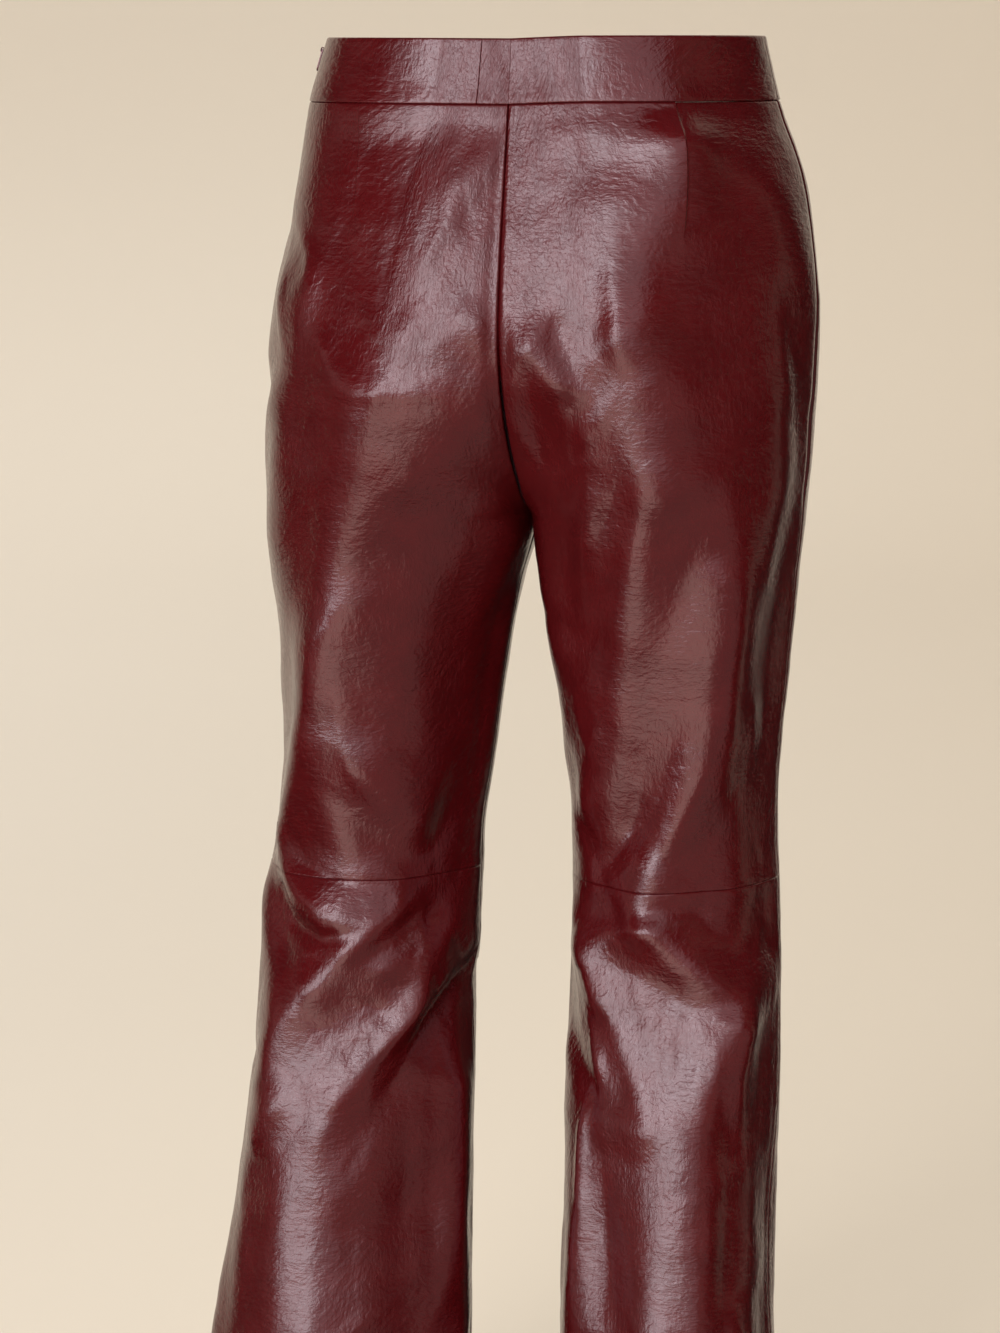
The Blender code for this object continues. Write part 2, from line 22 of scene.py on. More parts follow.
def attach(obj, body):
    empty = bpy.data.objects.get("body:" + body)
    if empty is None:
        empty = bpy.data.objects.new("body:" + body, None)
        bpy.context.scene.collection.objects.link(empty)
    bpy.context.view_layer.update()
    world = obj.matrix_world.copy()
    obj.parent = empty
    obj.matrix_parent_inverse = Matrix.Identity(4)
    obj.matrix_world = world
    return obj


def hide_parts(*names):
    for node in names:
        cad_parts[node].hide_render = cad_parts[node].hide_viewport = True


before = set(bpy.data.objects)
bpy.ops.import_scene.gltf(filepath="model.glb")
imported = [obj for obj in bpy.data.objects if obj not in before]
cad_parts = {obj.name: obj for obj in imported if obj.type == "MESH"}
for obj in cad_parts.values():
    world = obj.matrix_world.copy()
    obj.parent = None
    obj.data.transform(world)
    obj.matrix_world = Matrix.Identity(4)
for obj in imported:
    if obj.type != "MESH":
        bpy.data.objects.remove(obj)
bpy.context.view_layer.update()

log = logging.getLogger("trousers")

BODY, PULL_BODY = "trousers", "pull"
SEAT_SEAM, BACK, SIDE, FRONT, FRONT_SEAM = 0.0, 1.0, 2.0, 3.0, 4.0
QUARTER_ARC = 0.125


class Side(IntEnum):
    """The wearer's left or right leg, by the sign of its X."""

    LEFT = 1
    RIGHT = -1


class Slot(Enum):
    """The record's material slots."""

    LEATHER = "faux_leather"
    TAPE = "zip_tape"
    ENAMEL = "zip_enamel"


LEFT, RIGHT = Side.LEFT, Side.RIGHT


class Section(NamedTuple):
    """One section of a leg: X distances from the middle plane, and places along Y."""

    height: float
    outer: float
    inner: float
    crown: float
    back: float
    front: float
    middle: float
    inseam: float


class Fold(NamedTuple):
    """A fold on a bowed line. rise is its height, and each reach how far it spreads."""

    around: float
    height: float
    to_around: float
    to_height: float
    bow: float
    rise: float
    left_reach: float
    right_reach: float


class Swell(NamedTuple):
    """A broad soft swell: its middle, its long way's turn in degrees, its two reaches and its rise."""

    around: float
    height: float
    turn: float
    long: float
    short: float
    rise: float


class Here(NamedTuple):
    """The columns of a section table at many heights."""

    outer: np.ndarray
    inner: np.ndarray
    crown: np.ndarray
    back: np.ndarray
    front: np.ndarray
    middle: np.ndarray
    inseam: np.ndarray


SECTIONS = {
    LEFT: (
        Section(0.000, 0.1413, 0.0000, 0.045, 0.100, -0.098, 0.002, 0.002),
        Section(-0.042, 0.1533, 0.0000, 0.050, 0.109, -0.105, 0.003, 0.003),
        Section(-0.090, 0.1610, 0.0000, 0.062, 0.122, -0.112, 0.005, 0.006),
        Section(-0.142, 0.1766, 0.0000, 0.072, 0.136, -0.117, 0.008, 0.010),
        Section(-0.200, 0.1840, 0.0000, 0.082, 0.144, -0.116, 0.010, 0.014),
        Section(-0.260, 0.1850, 0.0000, 0.090, 0.137, -0.111, 0.010, 0.016),
        Section(-0.312, 0.1825, 0.0000, 0.094, 0.122, -0.104, 0.008, 0.016),
        Section(-0.362, 0.1825, 0.0122, 0.098, 0.110, -0.099, 0.005, 0.013),
        Section(-0.420, 0.1818, 0.0235, 0.102, 0.100, -0.095, 0.001, 0.008),
        Section(-0.483, 0.1818, 0.0332, 0.107, 0.086, -0.091, -0.002, 0.002),
        Section(-0.524, 0.1833, 0.0405, 0.111, 0.076, -0.088, -0.004, -0.003),
        Section(-0.565, 0.1889, 0.0425, 0.115, 0.073, -0.086, -0.004, -0.004),
        Section(-0.610, 0.1915, 0.0438, 0.118, 0.079, -0.081, -0.001, -0.001),
        Section(-0.690, 0.1967, 0.0465, 0.122, 0.088, -0.078, 0.004, 0.004),
        Section(-0.780, 0.2085, 0.0475, 0.128, 0.095, -0.080, 0.007, 0.007),
        Section(-0.876, 0.2247, 0.0485, 0.137, 0.101, -0.084, 0.008, 0.008),
        Section(-1.060, 0.2540, 0.0470, 0.151, 0.110, -0.094, 0.008, 0.008),
    ),
    RIGHT: (
        Section(0.000, 0.1472, 0.0000, 0.045, 0.100, -0.098, 0.002, 0.002),
        Section(-0.042, 0.1572, 0.0000, 0.050, 0.109, -0.105, 0.003, 0.003),
        Section(-0.090, 0.1745, 0.0000, 0.062, 0.122, -0.112, 0.005, 0.006),
        Section(-0.142, 0.1826, 0.0000, 0.072, 0.136, -0.117, 0.008, 0.010),
        Section(-0.200, 0.1850, 0.0000, 0.082, 0.144, -0.116, 0.010, 0.014),
        Section(-0.260, 0.1830, 0.0000, 0.088, 0.137, -0.111, 0.010, 0.016),
        Section(-0.312, 0.1780, 0.0000, 0.090, 0.122, -0.104, 0.008, 0.016),
        Section(-0.362, 0.1724, 0.0050, 0.090, 0.110, -0.099, 0.005, 0.013),
        Section(-0.420, 0.1664, 0.0133, 0.090, 0.100, -0.095, 0.001, 0.008),
        Section(-0.483, 0.1600, 0.0192, 0.090, 0.086, -0.091, -0.002, 0.002),
        Section(-0.524, 0.1587, 0.0224, 0.0905, 0.076, -0.088, -0.004, -0.003),
        Section(-0.565, 0.1606, 0.0220, 0.0915, 0.073, -0.086, -0.004, -0.004),
        Section(-0.610, 0.1615, 0.0210, 0.092, 0.079, -0.081, -0.001, -0.001),
        Section(-0.690, 0.1631, 0.0195, 0.0925, 0.090, -0.080, 0.004, 0.004),
        Section(-0.780, 0.1633, 0.0205, 0.093, 0.100, -0.086, 0.007, 0.007),
        Section(-0.876, 0.1610, 0.0175, 0.090, 0.109, -0.093, 0.008, 0.008),
        Section(-1.060, 0.1640, 0.0100, 0.088, 0.128, -0.112, 0.008, 0.008),
    ),
}

# The tables below hold whole numbers: places around in thousandths, heights, bows and reaches in
# tenths of a millimetre, rises in hundredths of a millimetre, and turns in degrees.
AROUND, LENGTH, RISE, DEGREE = 1000, 10000, 100000, 1
FOLD_UNITS = (AROUND, LENGTH, AROUND, LENGTH, LENGTH, RISE, LENGTH, LENGTH)
SWELL_UNITS = (AROUND, LENGTH, DEGREE, LENGTH, LENGTH, RISE)

# The large folds, close to those of the CAD solids.
FOLD_ROWS = {
    LEFT: (
        (330, -1020, 760, -1590, 70, 400, 300, 300), (530, -1870, 1080, -2990, 220, 600, 350, 350),
        (1080, -2990, 1180, -4600, 40, 500, 350, 350), (1720, -2180, 1950, -2520, 0, -400, 180, 180),
        (1120, -4620, 410, -5390, 30, 790, 230, 270), (1280, -5860, 700, -5790, 10, 900, 140, 300),
        (1116, -6176, 537, -5564, -6, 676, 150, 369), (1026, -6070, 1451, -7072, 160, 926, 359, 302),
        (360, -5700, 770, -5847, -82, -452, 351, 178), (131, -5989, 1010, -6301, 53, 422, 207, 295),
        (20, -6325, 810, -7276, 106, -890, 220, 393), (532, -6041, 909, -7006, -132, 734, 373, 165),
        (1080, -7250, 930, -10700, 0, 660, 410, 220), (181, -6504, 167, -8949, 21, 738, 191, 263),
        (570, -6898, 581, -9680, -61, -933, 458, 353), (3800, -3000, 2900, -2620, 60, 500, 220, 220),
        (3700, -3450, 2850, -4200, 80, 500, 300, 220), (3550, -5200, 2600, -5480, 60, 600, 200, 280),
        (2550, -6000, 3400, -6550, 60, 800, 300, 200), (3100, -6700, 3000, -10500, 40, 900, 420, 420),
        (3550, -7200, 3600, -10500, 0, -600, 300, 300),
    ),
    RIGHT: (
        (970, -1330, 1080, -2520, 0, 400, 400, 400), (580, -2170, 590, -2730, -40, -800, 250, 300),
        (1080, -2520, 910, -4250, 0, 700, 350, 400), (770, -2930, 450, -3980, 90, 500, 200, 200),
        (1300, -3180, 1070, -4180, 80, 500, 300, 300), (609, -5458, 913, -5039, -18, -347, 119, 143),
        (1330, -4460, 930, -5450, 90, 800, 250, 180), (1095, -5264, 927, -5983, -101, 1200, 351, 365),
        (714, -5560, 1635, -6397, -21, 1004, 232, 224), (634, -6118, 1280, -6354, 77, -619, 149, 316),
        (1547, -6203, 1283, -7134, -67, 1196, 420, 271), (513, -6217, 846, -7140, -1, -252, 180, 70),
        (1127, -6891, 1208, -9993, 122, 981, 550, 385), (659, -7004, 834, -10288, -38, -948, 403, 237),
        (1467, -6916, 1457, -10797, -63, -488, 216, 150), (3800, -2960, 3000, -2500, -60, 500, 220, 220),
        (3720, -3380, 2950, -4000, 80, 500, 300, 220), (3450, -5120, 2550, -5500, -50, 600, 200, 280),
        (2500, -5960, 3350, -6640, -40, 800, 300, 200), (2900, -6800, 2950, -10500, -40, 900, 420, 420),
        (3450, -7300, 3500, -10500, 0, -600, 300, 300),
    ),
}

# The small creases that lie over the large folds.
CREASE_ROWS = {
    LEFT: (
        (1181, -577, 1241, -1516, -24, 95, 97, 97), (1121, -1150, 668, -1290, 9, 159, 172, 275),
        (1644, -1206, 1406, -1818, -144, 156, 83, 72), (1455, -1328, 1537, -1721, 43, -126, 104, 145),
        (1257, -1315, 1320, -2088, 9, 54, 74, 92), (1705, -1356, 1534, -2086, -7, 152, 70, 70),
        (1020, -1699, 994, -1961, -16, 199, 107, 170), (303, -1738, 636, -2081, 3, 32, 83, 70),
        (1312, -1935, 1145, -2203, -26, 199, 103, 92), (1231, -2220, 391, -2224, 38, 161, 75, 149),
        (1621, -2327, 1343, -2890, -41, 53, 140, 124), (846, -2829, 193, -2589, -32, 500, 289, 367),
        (642, -2839, 904, -2915, -7, 153, 89, 154), (824, -2717, 545, -3073, 29, 140, 113, 168),
        (175, -3079, 235, -3712, -29, 386, 223, 183), (1359, -3623, 960, -3787, 54, -74, 136, 180),
        (1101, -4077, 958, -4927, 62, 158, 72, 177), (1378, -4448, 1969, -4858, 2, -69, 72, 161),
        (1415, -4640, 254, -5195, -193, 202, 293, 175), (1286, -5490, 745, -5583, 46, -151, 70, 70),
        (1560, -5360, 1060, -5740, 110, 600, 180, 150), (1540, -5720, 1090, -5930, 80, -390, 90, 100),
        (1790, -5500, 1270, -6360, -30, -600, 200, 430), (531, -5699, 1128, -6275, 82, 297, 135, 148),
        (395, -5953, 86, -6404, -44, -323, 374, 159), (227, -6252, 373, -6450, 1, -13, 70, 335),
        (620, -6170, 810, -6560, -50, -570, 320, 130), (1657, -6058, 1589, -6696, -3, 28, 115, 119),
        (872, -6140, 1349, -6620, 73, 216, 146, 133), (838, -6330, 809, -6568, 32, -414, 339, 188),
        (786, -6216, 927, -6734, 5, 49, 104, 78), (40, -6200, 880, -7040, 80, -450, 100, 130),
        (978, -6831, 713, -6713, -83, -317, 156, 186), (1252, -6701, 876, -7024, -69, 29, 70, 161),
        (644, -6762, 120, -7033, 13, 213, 129, 168), (400, -6948, 978, -7048, -28, 70, 192, 186),
        (1426, -7009, 1607, -7021, -9, 137, 189, 94), (1210, -6930, 1510, -7530, 80, 600, 300, 210),
        (929, -6834, 1192, -7819, 10, 132, 160, 143), (163, -7899, 1026, -8055, 151, -324, 323, 418),
        (1004, -8089, 1241, -8188, -16, 18, 246, 95), (247, -7618, 398, -8781, -53, 248, 115, 125),
        (527, -8333, 1291, -8953, -14, 152, 83, 70), (631, -8161, 627, -9543, 200, 500, 380, 550),
    ),
    RIGHT: (
        (731, -781, 155, -1090, -25, 15, 97, 244), (343, -961, 49, -1074, -95, 25, 109, 222),
        (71, -1112, 81, -2204, -38, 82, 119, 259), (415, -1770, 583, -1835, -18, -175, 144, 146),
        (1123, -1737, 576, -2152, 17, 254, 198, 165), (1694, -1691, 1744, -2332, -20, 153, 99, 70),
        (768, -1921, 1069, -2231, -5, -214, 172, 179), (1688, -1004, 1701, -3225, -34, 237, 177, 181),
        (984, -2131, 502, -2660, 30, 74, 70, 91), (890, -2504, 586, -2550, -39, -64, 140, 83),
        (397, -2449, 126, -2619, -3, -202, 300, 330), (263, -2165, 255, -2902, -27, -336, 258, 189),
        (774, -2487, 412, -2637, 11, 152, 71, 140), (1513, -2827, 1045, -3090, -106, 301, 438, 230),
        (831, -2844, 617, -3378, -39, 182, 84, 224), (636, -2767, 511, -3716, 111, 216, 98, 170),
        (1629, -2976, 1615, -3603, -6, 104, 112, 114), (1056, -2735, 795, -4375, -27, 206, 155, 94),
        (1370, -3023, 1387, -4868, 21, 385, 263, 176), (1587, -4252, 1620, -4703, 6, 243, 172, 161),
        (480, -4310, 708, -4722, -83, 92, 172, 96), (685, -4456, 560, -4686, 15, 143, 70, 100),
        (274, -4503, 20, -4843, 21, 77, 120, 204), (1222, -4366, 942, -5286, 86, 184, 160, 83),
        (480, -5890, 1190, -5770, -10, 420, 100, 170), (1753, -5535, 1811, -6152, 26, -314, 157, 406),
        (410, -5820, 680, -6530, 70, 600, 190, 230), (782, -6084, 1407, -6438, 63, 114, 232, 70),
        (233, -6039, 1407, -6488, 96, 355, 190, 271), (1090, -6376, 916, -6484, -21, 116, 138, 72),
        (112, -6040, 708, -7047, -113, -474, 320, 333), (1540, -6150, 1510, -7210, -50, 520, 200, 120),
        (696, -6338, 956, -7080, 38, 187, 118, 96), (1617, -6692, 1084, -6967, -68, 48, 131, 133),
        (521, -7044, 1110, -7134, -7, 421, 295, 222), (1308, -6862, 1286, -7539, -25, 500, 496, 272),
        (540, -6900, 530, -7880, -50, 280, 60, 70), (1835, -7123, 2016, -7719, 2, 19, 83, 97),
        (1671, -7379, 1281, -7504, 1, 277, 153, 127), (301, -7488, 481, -8427, -21, 32, 164, 116),
        (513, -7409, 379, -8764, 8, 320, 146, 264), (254, -7783, 216, -8497, -18, 159, 74, 208),
        (399, -7711, 531, -8593, 106, 113, 70, 338), (1470, -8187, 1514, -8642, -7, 387, 198, 304),
        (780, -8417, 662, -8586, -65, 236, 283, 258), (1651, -8380, 1377, -8744, 0, -77, 162, 95),
        (917, -8378, 1153, -8783, -16, 182, 119, 83), (1294, -8395, 1702, -8793, 104, 383, 257, 394),
    ),
}

# The broad soft swells that the gloss shows.
SWELL_ROWS = {
    LEFT: (
        (683, -317, 3, 1200, 242, -400), (1123, -577, 128, 1196, 408, -357), (617, -740, 124, 742, 133, 53),
        (419, -869, 74, 188, 600, 376), (1852, -1238, 124, 209, 464, -376),
        (1651, -1372, 74, 238, 433, -400), (1181, -1475, 87, 422, 243, -400),
        (529, -1582, 141, 1119, 148, 170), (1296, -1594, 99, 1179, 98, -192),
        (1213, -1764, 94, 1200, 235, -400), (149, -1823, 24, 280, 128, 255),
        (924, -2000, 35, 345, 133, -243), (1670, -2135, 146, 1189, 464, -400),
        (1552, -2135, 48, 1103, 244, -400), (486, -2335, 1, 1005, 210, 399),
        (1164, -2386, 88, 283, 170, -339), (675, -2479, 124, 1200, 264, 381),
        (1366, -2684, 175, 280, 182, -142), (1699, -2723, 107, 249, 149, -286),
        (1332, -3186, 178, 202, 600, -400), (960, -3390, 20, 256, 206, -400),
        (1134, -3811, 45, 156, 283, 303), (419, -3880, 66, 873, 425, -400),
        (1855, -3885, 122, 395, 207, -400), (1252, -4117, 92, 380, 177, 350),
        (1615, -4146, 125, 654, 368, -400), (432, -4223, 81, 1193, 338, -400),
        (1082, -4229, 173, 401, 251, -218), (1686, -4363, 115, 871, 273, -400),
        (413, -4435, 118, 1155, 599, -400), (1288, -4487, 80, 1188, 250, 400),
        (1905, -4666, 27, 257, 422, -211), (1401, -4770, 109, 846, 106, 202),
        (1673, -4935, 111, 537, 207, -381), (1056, -5209, 154, 186, 452, 372),
        (425, -5247, 124, 434, 201, -400), (1619, -5350, 122, 585, 272, 399),
        (444, -5436, 31, 435, 246, -341), (1588, -5455, 172, 628, 192, -378),
        (32, -5556, 92, 552, 165, 286), (307, -6647, 79, 447, 85, 63), (1001, -6736, 122, 481, 476, -400),
        (1794, -6833, 149, 421, 89, -172), (590, -7082, 149, 840, 298, -400),
        (1193, -7323, 121, 284, 189, 219), (1163, -7499, 178, 342, 190, -27),
        (1748, -7654, 106, 541, 158, -106), (1536, -7669, 58, 545, 159, 42),
        (1274, -7715, 81, 1200, 156, 258), (1538, -7963, 84, 482, 136, 219),
        (1036, -8024, 83, 578, 179, -295), (1427, -8234, 94, 349, 182, 131),
        (444, -8306, 113, 395, 207, 329), (1707, -8744, 86, 626, 106, 212),
        (181, -8748, 154, 517, 167, 256),
    ),
    RIGHT: (
        (196, -254, 174, 520, 135, -126), (1318, -487, 93, 533, 165, 328), (1322, -514, 95, 329, 205, 399),
        (1331, -605, 89, 593, 157, 314), (830, -696, 73, 384, 600, 397), (1501, -743, 121, 1200, 197, 391),
        (842, -767, 179, 594, 200, -309), (1273, -769, 71, 1200, 194, 388),
        (1468, -1707, 88, 681, 266, -400), (1407, -1740, 16, 379, 571, -400),
        (847, -1825, 69, 432, 136, -142), (1247, -1861, 102, 670, 242, -400),
        (1743, -1891, 103, 692, 140, -279), (174, -1909, 148, 1117, 121, 240),
        (194, -2009, 41, 474, 112, 224), (1824, -2471, 174, 437, 170, -84),
        (733, -2494, 142, 962, 214, 400), (585, -2501, 120, 795, 146, 290),
        (294, -2587, 72, 270, 277, -400), (798, -2615, 96, 554, 191, -375),
        (608, -3529, 117, 875, 293, -400), (1427, -3568, 169, 210, 600, 400),
        (534, -3689, 71, 290, 179, -326), (320, -3744, 96, 683, 185, 322),
        (1811, -3800, 86, 1200, 194, -388), (536, -3806, 69, 701, 152, -304),
        (444, -3827, 167, 434, 95, -148), (1379, -3951, 171, 226, 600, 400),
        (1386, -3970, 76, 1200, 225, 400), (1818, -4038, 88, 428, 141, -280),
        (396, -4648, 149, 212, 349, -329), (1433, -4663, 93, 1200, 213, 400),
        (899, -4960, 150, 264, 307, -238), (903, -5042, 77, 1199, 206, -400),
        (472, -5057, 123, 156, 403, 310), (306, -5430, 29, 366, 203, -159),
        (716, -5678, 122, 1189, 106, -199), (393, -5908, 129, 571, 90, 87),
        (1584, -6309, 23, 544, 218, 400), (443, -6511, 151, 216, 263, -47), (800, -6566, 68, 513, 166, -50),
        (605, -6576, 96, 993, 70, 136), (919, -6589, 108, 490, 359, -373),
        (269, -6658, 149, 518, 115, -187), (117, -6667, 34, 90, 205, 142), (693, -6722, 117, 219, 242, 304),
        (45, -7062, 140, 369, 115, 72), (1939, -7758, 180, 291, 600, -400), (232, -8019, 68, 501, 266, 25),
        (1838, -8093, 36, 262, 184, 110), (1414, -8112, 176, 360, 600, 400),
        (1929, -8159, 1, 313, 600, -400), (557, -8273, 85, 265, 182, 37), (1002, -8288, 109, 459, 158, 287),
        (1704, -8290, 74, 372, 186, 95), (1268, -8619, 152, 356, 247, 78),
    ),
}


def from_rows(kind: type, units: Sequence[int], rows: dict[Side, tuple]) -> dict[Side, list]:
    """Each leg's folds or swells, in metres.

    Args:
        kind: Fold or Swell.
        units: What each column is divided by.
        rows: The whole numbers, by leg.

    Returns:
        The folds or swells, by leg.
    """
    return {
        side: [kind(*(value / unit for value, unit in zip(row, units))) for row in table]
        for side, table in rows.items()
    }


FOLDS = from_rows(Fold, FOLD_UNITS, FOLD_ROWS)
CREASES = from_rows(Fold, FOLD_UNITS, CREASE_ROWS)
SWELLS = from_rows(Swell, SWELL_UNITS, SWELL_ROWS)


class Ripple(NamedTuple):
    """One size of small unevenness: its spacing round and down the cloth, and its height."""

    around: float
    down: float
    rise: float
    seed: float


RIPPLES = (
    Ripple(0.046, 0.030, 0.00055, 3.1),
    Ripple(0.017, 0.011, 0.00020, 7.7),
    Ripple(0.008, 0.007, 0.00006, 11.3),
)


def smooth_step(value: np.ndarray) -> np.ndarray:
    """0 below 0, 1 above 1, and a smooth rise between."""
    value = np.clip(value, 0.0, 1.0)
    return value * value * (3 - 2 * value)


def noise_at(across: np.ndarray, down: np.ndarray, seed: float) -> np.ndarray:
    """Smooth noise between about -1 and 1.

    Args:
        across, down: Places, in units of the noise's own spacing.
        seed: Which noise.

    Returns:
        The noise at each place.
    """
    places = zip(across.ravel(), down.ravel())
    values = [noise.noise((a, d, seed)) for a, d in places]
    return np.array(values).reshape(across.shape)


@dataclass
class TrousersForm:
    """The outer surface of the whole garment, which each cloth piece is cut from."""

    band_seam: float = -0.042
    crotch: float = -0.312
    knee_seam: float = -0.556
    hem: float = -1.060
    front_dip: float = 0.012
    right_lift: float = 0.003
    shift_end: float = -0.250
    shift_span: float = 0.180
    seat_rise: float = 0.140
    front_rise: float = 0.125
    shallowest_seam: float = 0.16
    seat_to_thigh: tuple[float, float] = (-0.385, -0.215)
    seam_pull: int = 4
    fold_steps: int = 8
    crest_rounding: float = 0.25
    foot_ease: float = 1.4
    end_taper: float = 0.30
    end_share: float = 0.40
    merge_power: float = 3.0
    seam_hold: float = 0.30
    seam_hold_fade: float = 0.030
    seam_gap: float = 0.0004
    nudge: float = 0.002
    held_fade: float = 0.030
    held_share: float = 0.75
    swell_reach: float = 0.020
    held_reach: float = 0.040
    relief_reach: float = 0.006
    zip_reach: float = 0.020
    zip_fade: float = 0.015

    def between_rows(self, side: Side, height: np.ndarray) -> Here:
        """The section's measures at these heights, on curves that never overshoot.

        Args:
            side: Which half of the garment.
            height: Heights, below the waist.

        Returns:
            One array for each column of the section table.
        """
        rows = SECTIONS[side]
        heights = np.array([row.height for row in rows])[::-1]
        steps = np.diff(heights)
        height = np.clip(height, heights[0], heights[-1])
        at = np.clip(np.searchsorted(heights, height) - 1, 0, len(steps) - 1)
        part = (height - heights[at]) / steps[at]
        square, cube = part * part, part * part * part
        found = []
        for column in Here._fields:
            values = np.array([getattr(row, column) for row in rows])[::-1]
            slopes = np.diff(values) / steps
            tangents = np.concatenate([slopes[:1], (slopes[:-1] + slopes[1:]) / 2, slopes[-1:]])
            tangents[1:-1][slopes[:-1] * slopes[1:] <= 0] = 0
            found.append(
                (2 * cube - 3 * square + 1) * values[at]
                + (cube - 2 * square + part) * steps[at] * tangents[at]
                + (3 * square - 2 * cube) * values[at + 1]
                + (cube - square) * steps[at] * tangents[at + 1]
            )
        return Here(*found)

    def inner_turn(self, height: np.ndarray, rise: np.ndarray, share: np.ndarray) -> np.ndarray:
        """How far an inner quarter turns before the middle plane.

        Args:
            height: Heights, below the waist.
            rise: How high the crotch curve climbs at each place.
            share: How near each place lies to the seam, from 0 to 1.

        Returns:
            Angles: a right angle at the crotch and below.
        """
        climb = np.clip((height - self.crotch) / rise, 0.0, 1.0)
        steepest = math.cos(self.shallowest_seam)
        seam = np.arccos(np.sqrt(1 - (1 - climb) ** 2) * steepest)
        low, high = self.seat_to_thigh
        beside = np.arccos(smooth_step((height - low) / (high - low)) * steepest)
        return beside + (seam - beside) * share**self.seam_pull

    def plain_section(
        self, side: Side, around: np.ndarray, height: np.ndarray
    ) -> tuple[np.ndarray, np.ndarray]:
        """The garment without its folds.

        Args:
            side: Which half of the garment.
            around, height: Places on it.

        Returns:
            X and Y of each place.
        """
        here = self.between_rows(side, height)
        at_back = around < SIDE
        crown_y = np.where(at_back, here.back, here.front)
        from_crown = np.where(at_back, around - BACK, FRONT - around)
        inward = from_crown < 0
        rise = np.where(at_back, self.seat_rise, self.front_rise)
        turn = self.inner_turn(height, rise, np.abs(from_crown))
        angle = np.abs(from_crown) * np.where(inward, turn, math.pi / 2)
        inner_x = here.crown - (here.crown - here.inner) * np.sin(angle) / np.sin(turn)
        outer_x = here.crown + (here.outer - here.crown) * np.sin(angle)
        centre_y = np.where(inward, here.inseam, here.middle)
        x = side * np.where(inward, inner_x, outer_x)
        return x, centre_y + (crown_y - centre_y) * np.cos(angle)

    def fold_share(self, fold: Fold, around: np.ndarray, height: np.ndarray) -> np.ndarray:
        """How much of a fold's rise each place has, from 0 to 1.

        Args:
            fold: The fold.
            around, height: Places on the garment.

        Returns:
            The share at each place.
        """
        start = np.array([fold.around * QUARTER_ARC, fold.height])
        run = np.array([fold.to_around * QUARTER_ARC, fold.to_height]) - start
        across = np.array([-run[1], run[0]]) / np.hypot(run[0], run[1])
        along = np.linspace(0, 1, self.fold_steps + 1)
        path = start + np.outer(along, run) + np.outer(4 * fold.bow * along * (1 - along), across)
        place = np.stack([around * QUARTER_ARC, height], axis=-1)
        reach = max(fold.left_reach, fold.right_reach) * (1 + self.crest_rounding)
        close = np.all((place > path.min(axis=0) - reach) & (place < path.max(axis=0) + reach), axis=-1)
        shares = np.zeros(around.shape)
        place = place[close]
        nearest = np.full(place.shape[:-1], np.inf)
        travelled = np.zeros(place.shape[:-1])
        for step in range(self.fold_steps):
            stretch = path[step + 1] - path[step]
            apart = place - path[step]
            share = np.clip(apart @ stretch / (stretch @ stretch), 0, 1)
            apart = apart - share[..., None] * stretch
            on_left = stretch[0] * apart[..., 1] > stretch[1] * apart[..., 0]
            reach = np.where(on_left, fold.left_reach, fold.right_reach)
            distance = np.hypot(apart[..., 0], apart[..., 1]) / reach
            closer = distance < nearest
            nearest = np.where(closer, distance, nearest)
            travelled = np.where(closer, (step + share) / self.fold_steps, travelled)
        crest = 1 + self.crest_rounding - np.hypot(nearest, self.crest_rounding)
        ends = smooth_step(travelled / self.end_taper) * smooth_step((1 - travelled) / self.end_taper)
        ends = self.end_share + (1 - self.end_share) * ends
        shares[close] = np.clip(crest, 0, 1) ** self.foot_ease * ends
        return shares

    def fold_height(self, side: Side, around: np.ndarray, height: np.ndarray) -> np.ndarray:
        """How far the large folds lift the cloth off the plain form.

        Args:
            side: Which half of the garment.
            around, height: Places on it.

        Returns:
            Metres out, or in where less than 0.
        """
        joined = smooth_step((height - self.crotch) / self.seam_hold_fade + 1)
        raised, sunk = np.zeros(around.shape), np.zeros(around.shape)
        for fold in FOLDS[side]:
            share = self.fold_share(fold, around, height)
            round_inseam = FRONT_SEAM if fold.around < SIDE else -FRONT_SEAM
            beyond = self.fold_share(fold, around - round_inseam, height) * (1 - joined)
            lift = (abs(fold.rise) * np.maximum(share, beyond)) ** self.merge_power
            raised += lift * (fold.rise > 0)
            sunk += lift * (fold.rise < 0)
        from_seam = np.minimum(around - SEAT_SEAM, FRONT_SEAM - around)
        free = 1 - joined * (1 - smooth_step(from_seam / self.seam_hold))
        return (raised ** (1 / self.merge_power) - sunk ** (1 / self.merge_power)) * free

    def swell_height(self, side: Side, around: np.ndarray, height: np.ndarray) -> np.ndarray:
        """How far the broad soft swells lift the cloth.

        Args:
            side: Which half of the garment.
            around, height: Places on it.

        Returns:
            Metres out, or in where less than 0.
        """
        lift = np.zeros(around.shape)
        for swell in SWELLS[side]:
            across, up = (around - swell.around) * QUARTER_ARC, height - swell.height
            turn = math.radians(swell.turn)
            along = across * math.cos(turn) + up * math.sin(turn)
            beside = up * math.cos(turn) - across * math.sin(turn)
            lift += swell.rise * np.exp(-((along / swell.long) ** 2) - (beside / swell.short) ** 2)
        from_seam = np.minimum(around - SEAT_SEAM, FRONT_SEAM - around) * QUARTER_ARC
        held = smooth_step((height - self.band_seam + self.held_fade) / self.held_fade)
        free = smooth_step(from_seam / (self.swell_reach + self.held_reach * held))
        return lift * (1 - self.held_share * held) * free * self.clear_of_zip(side, around, height)

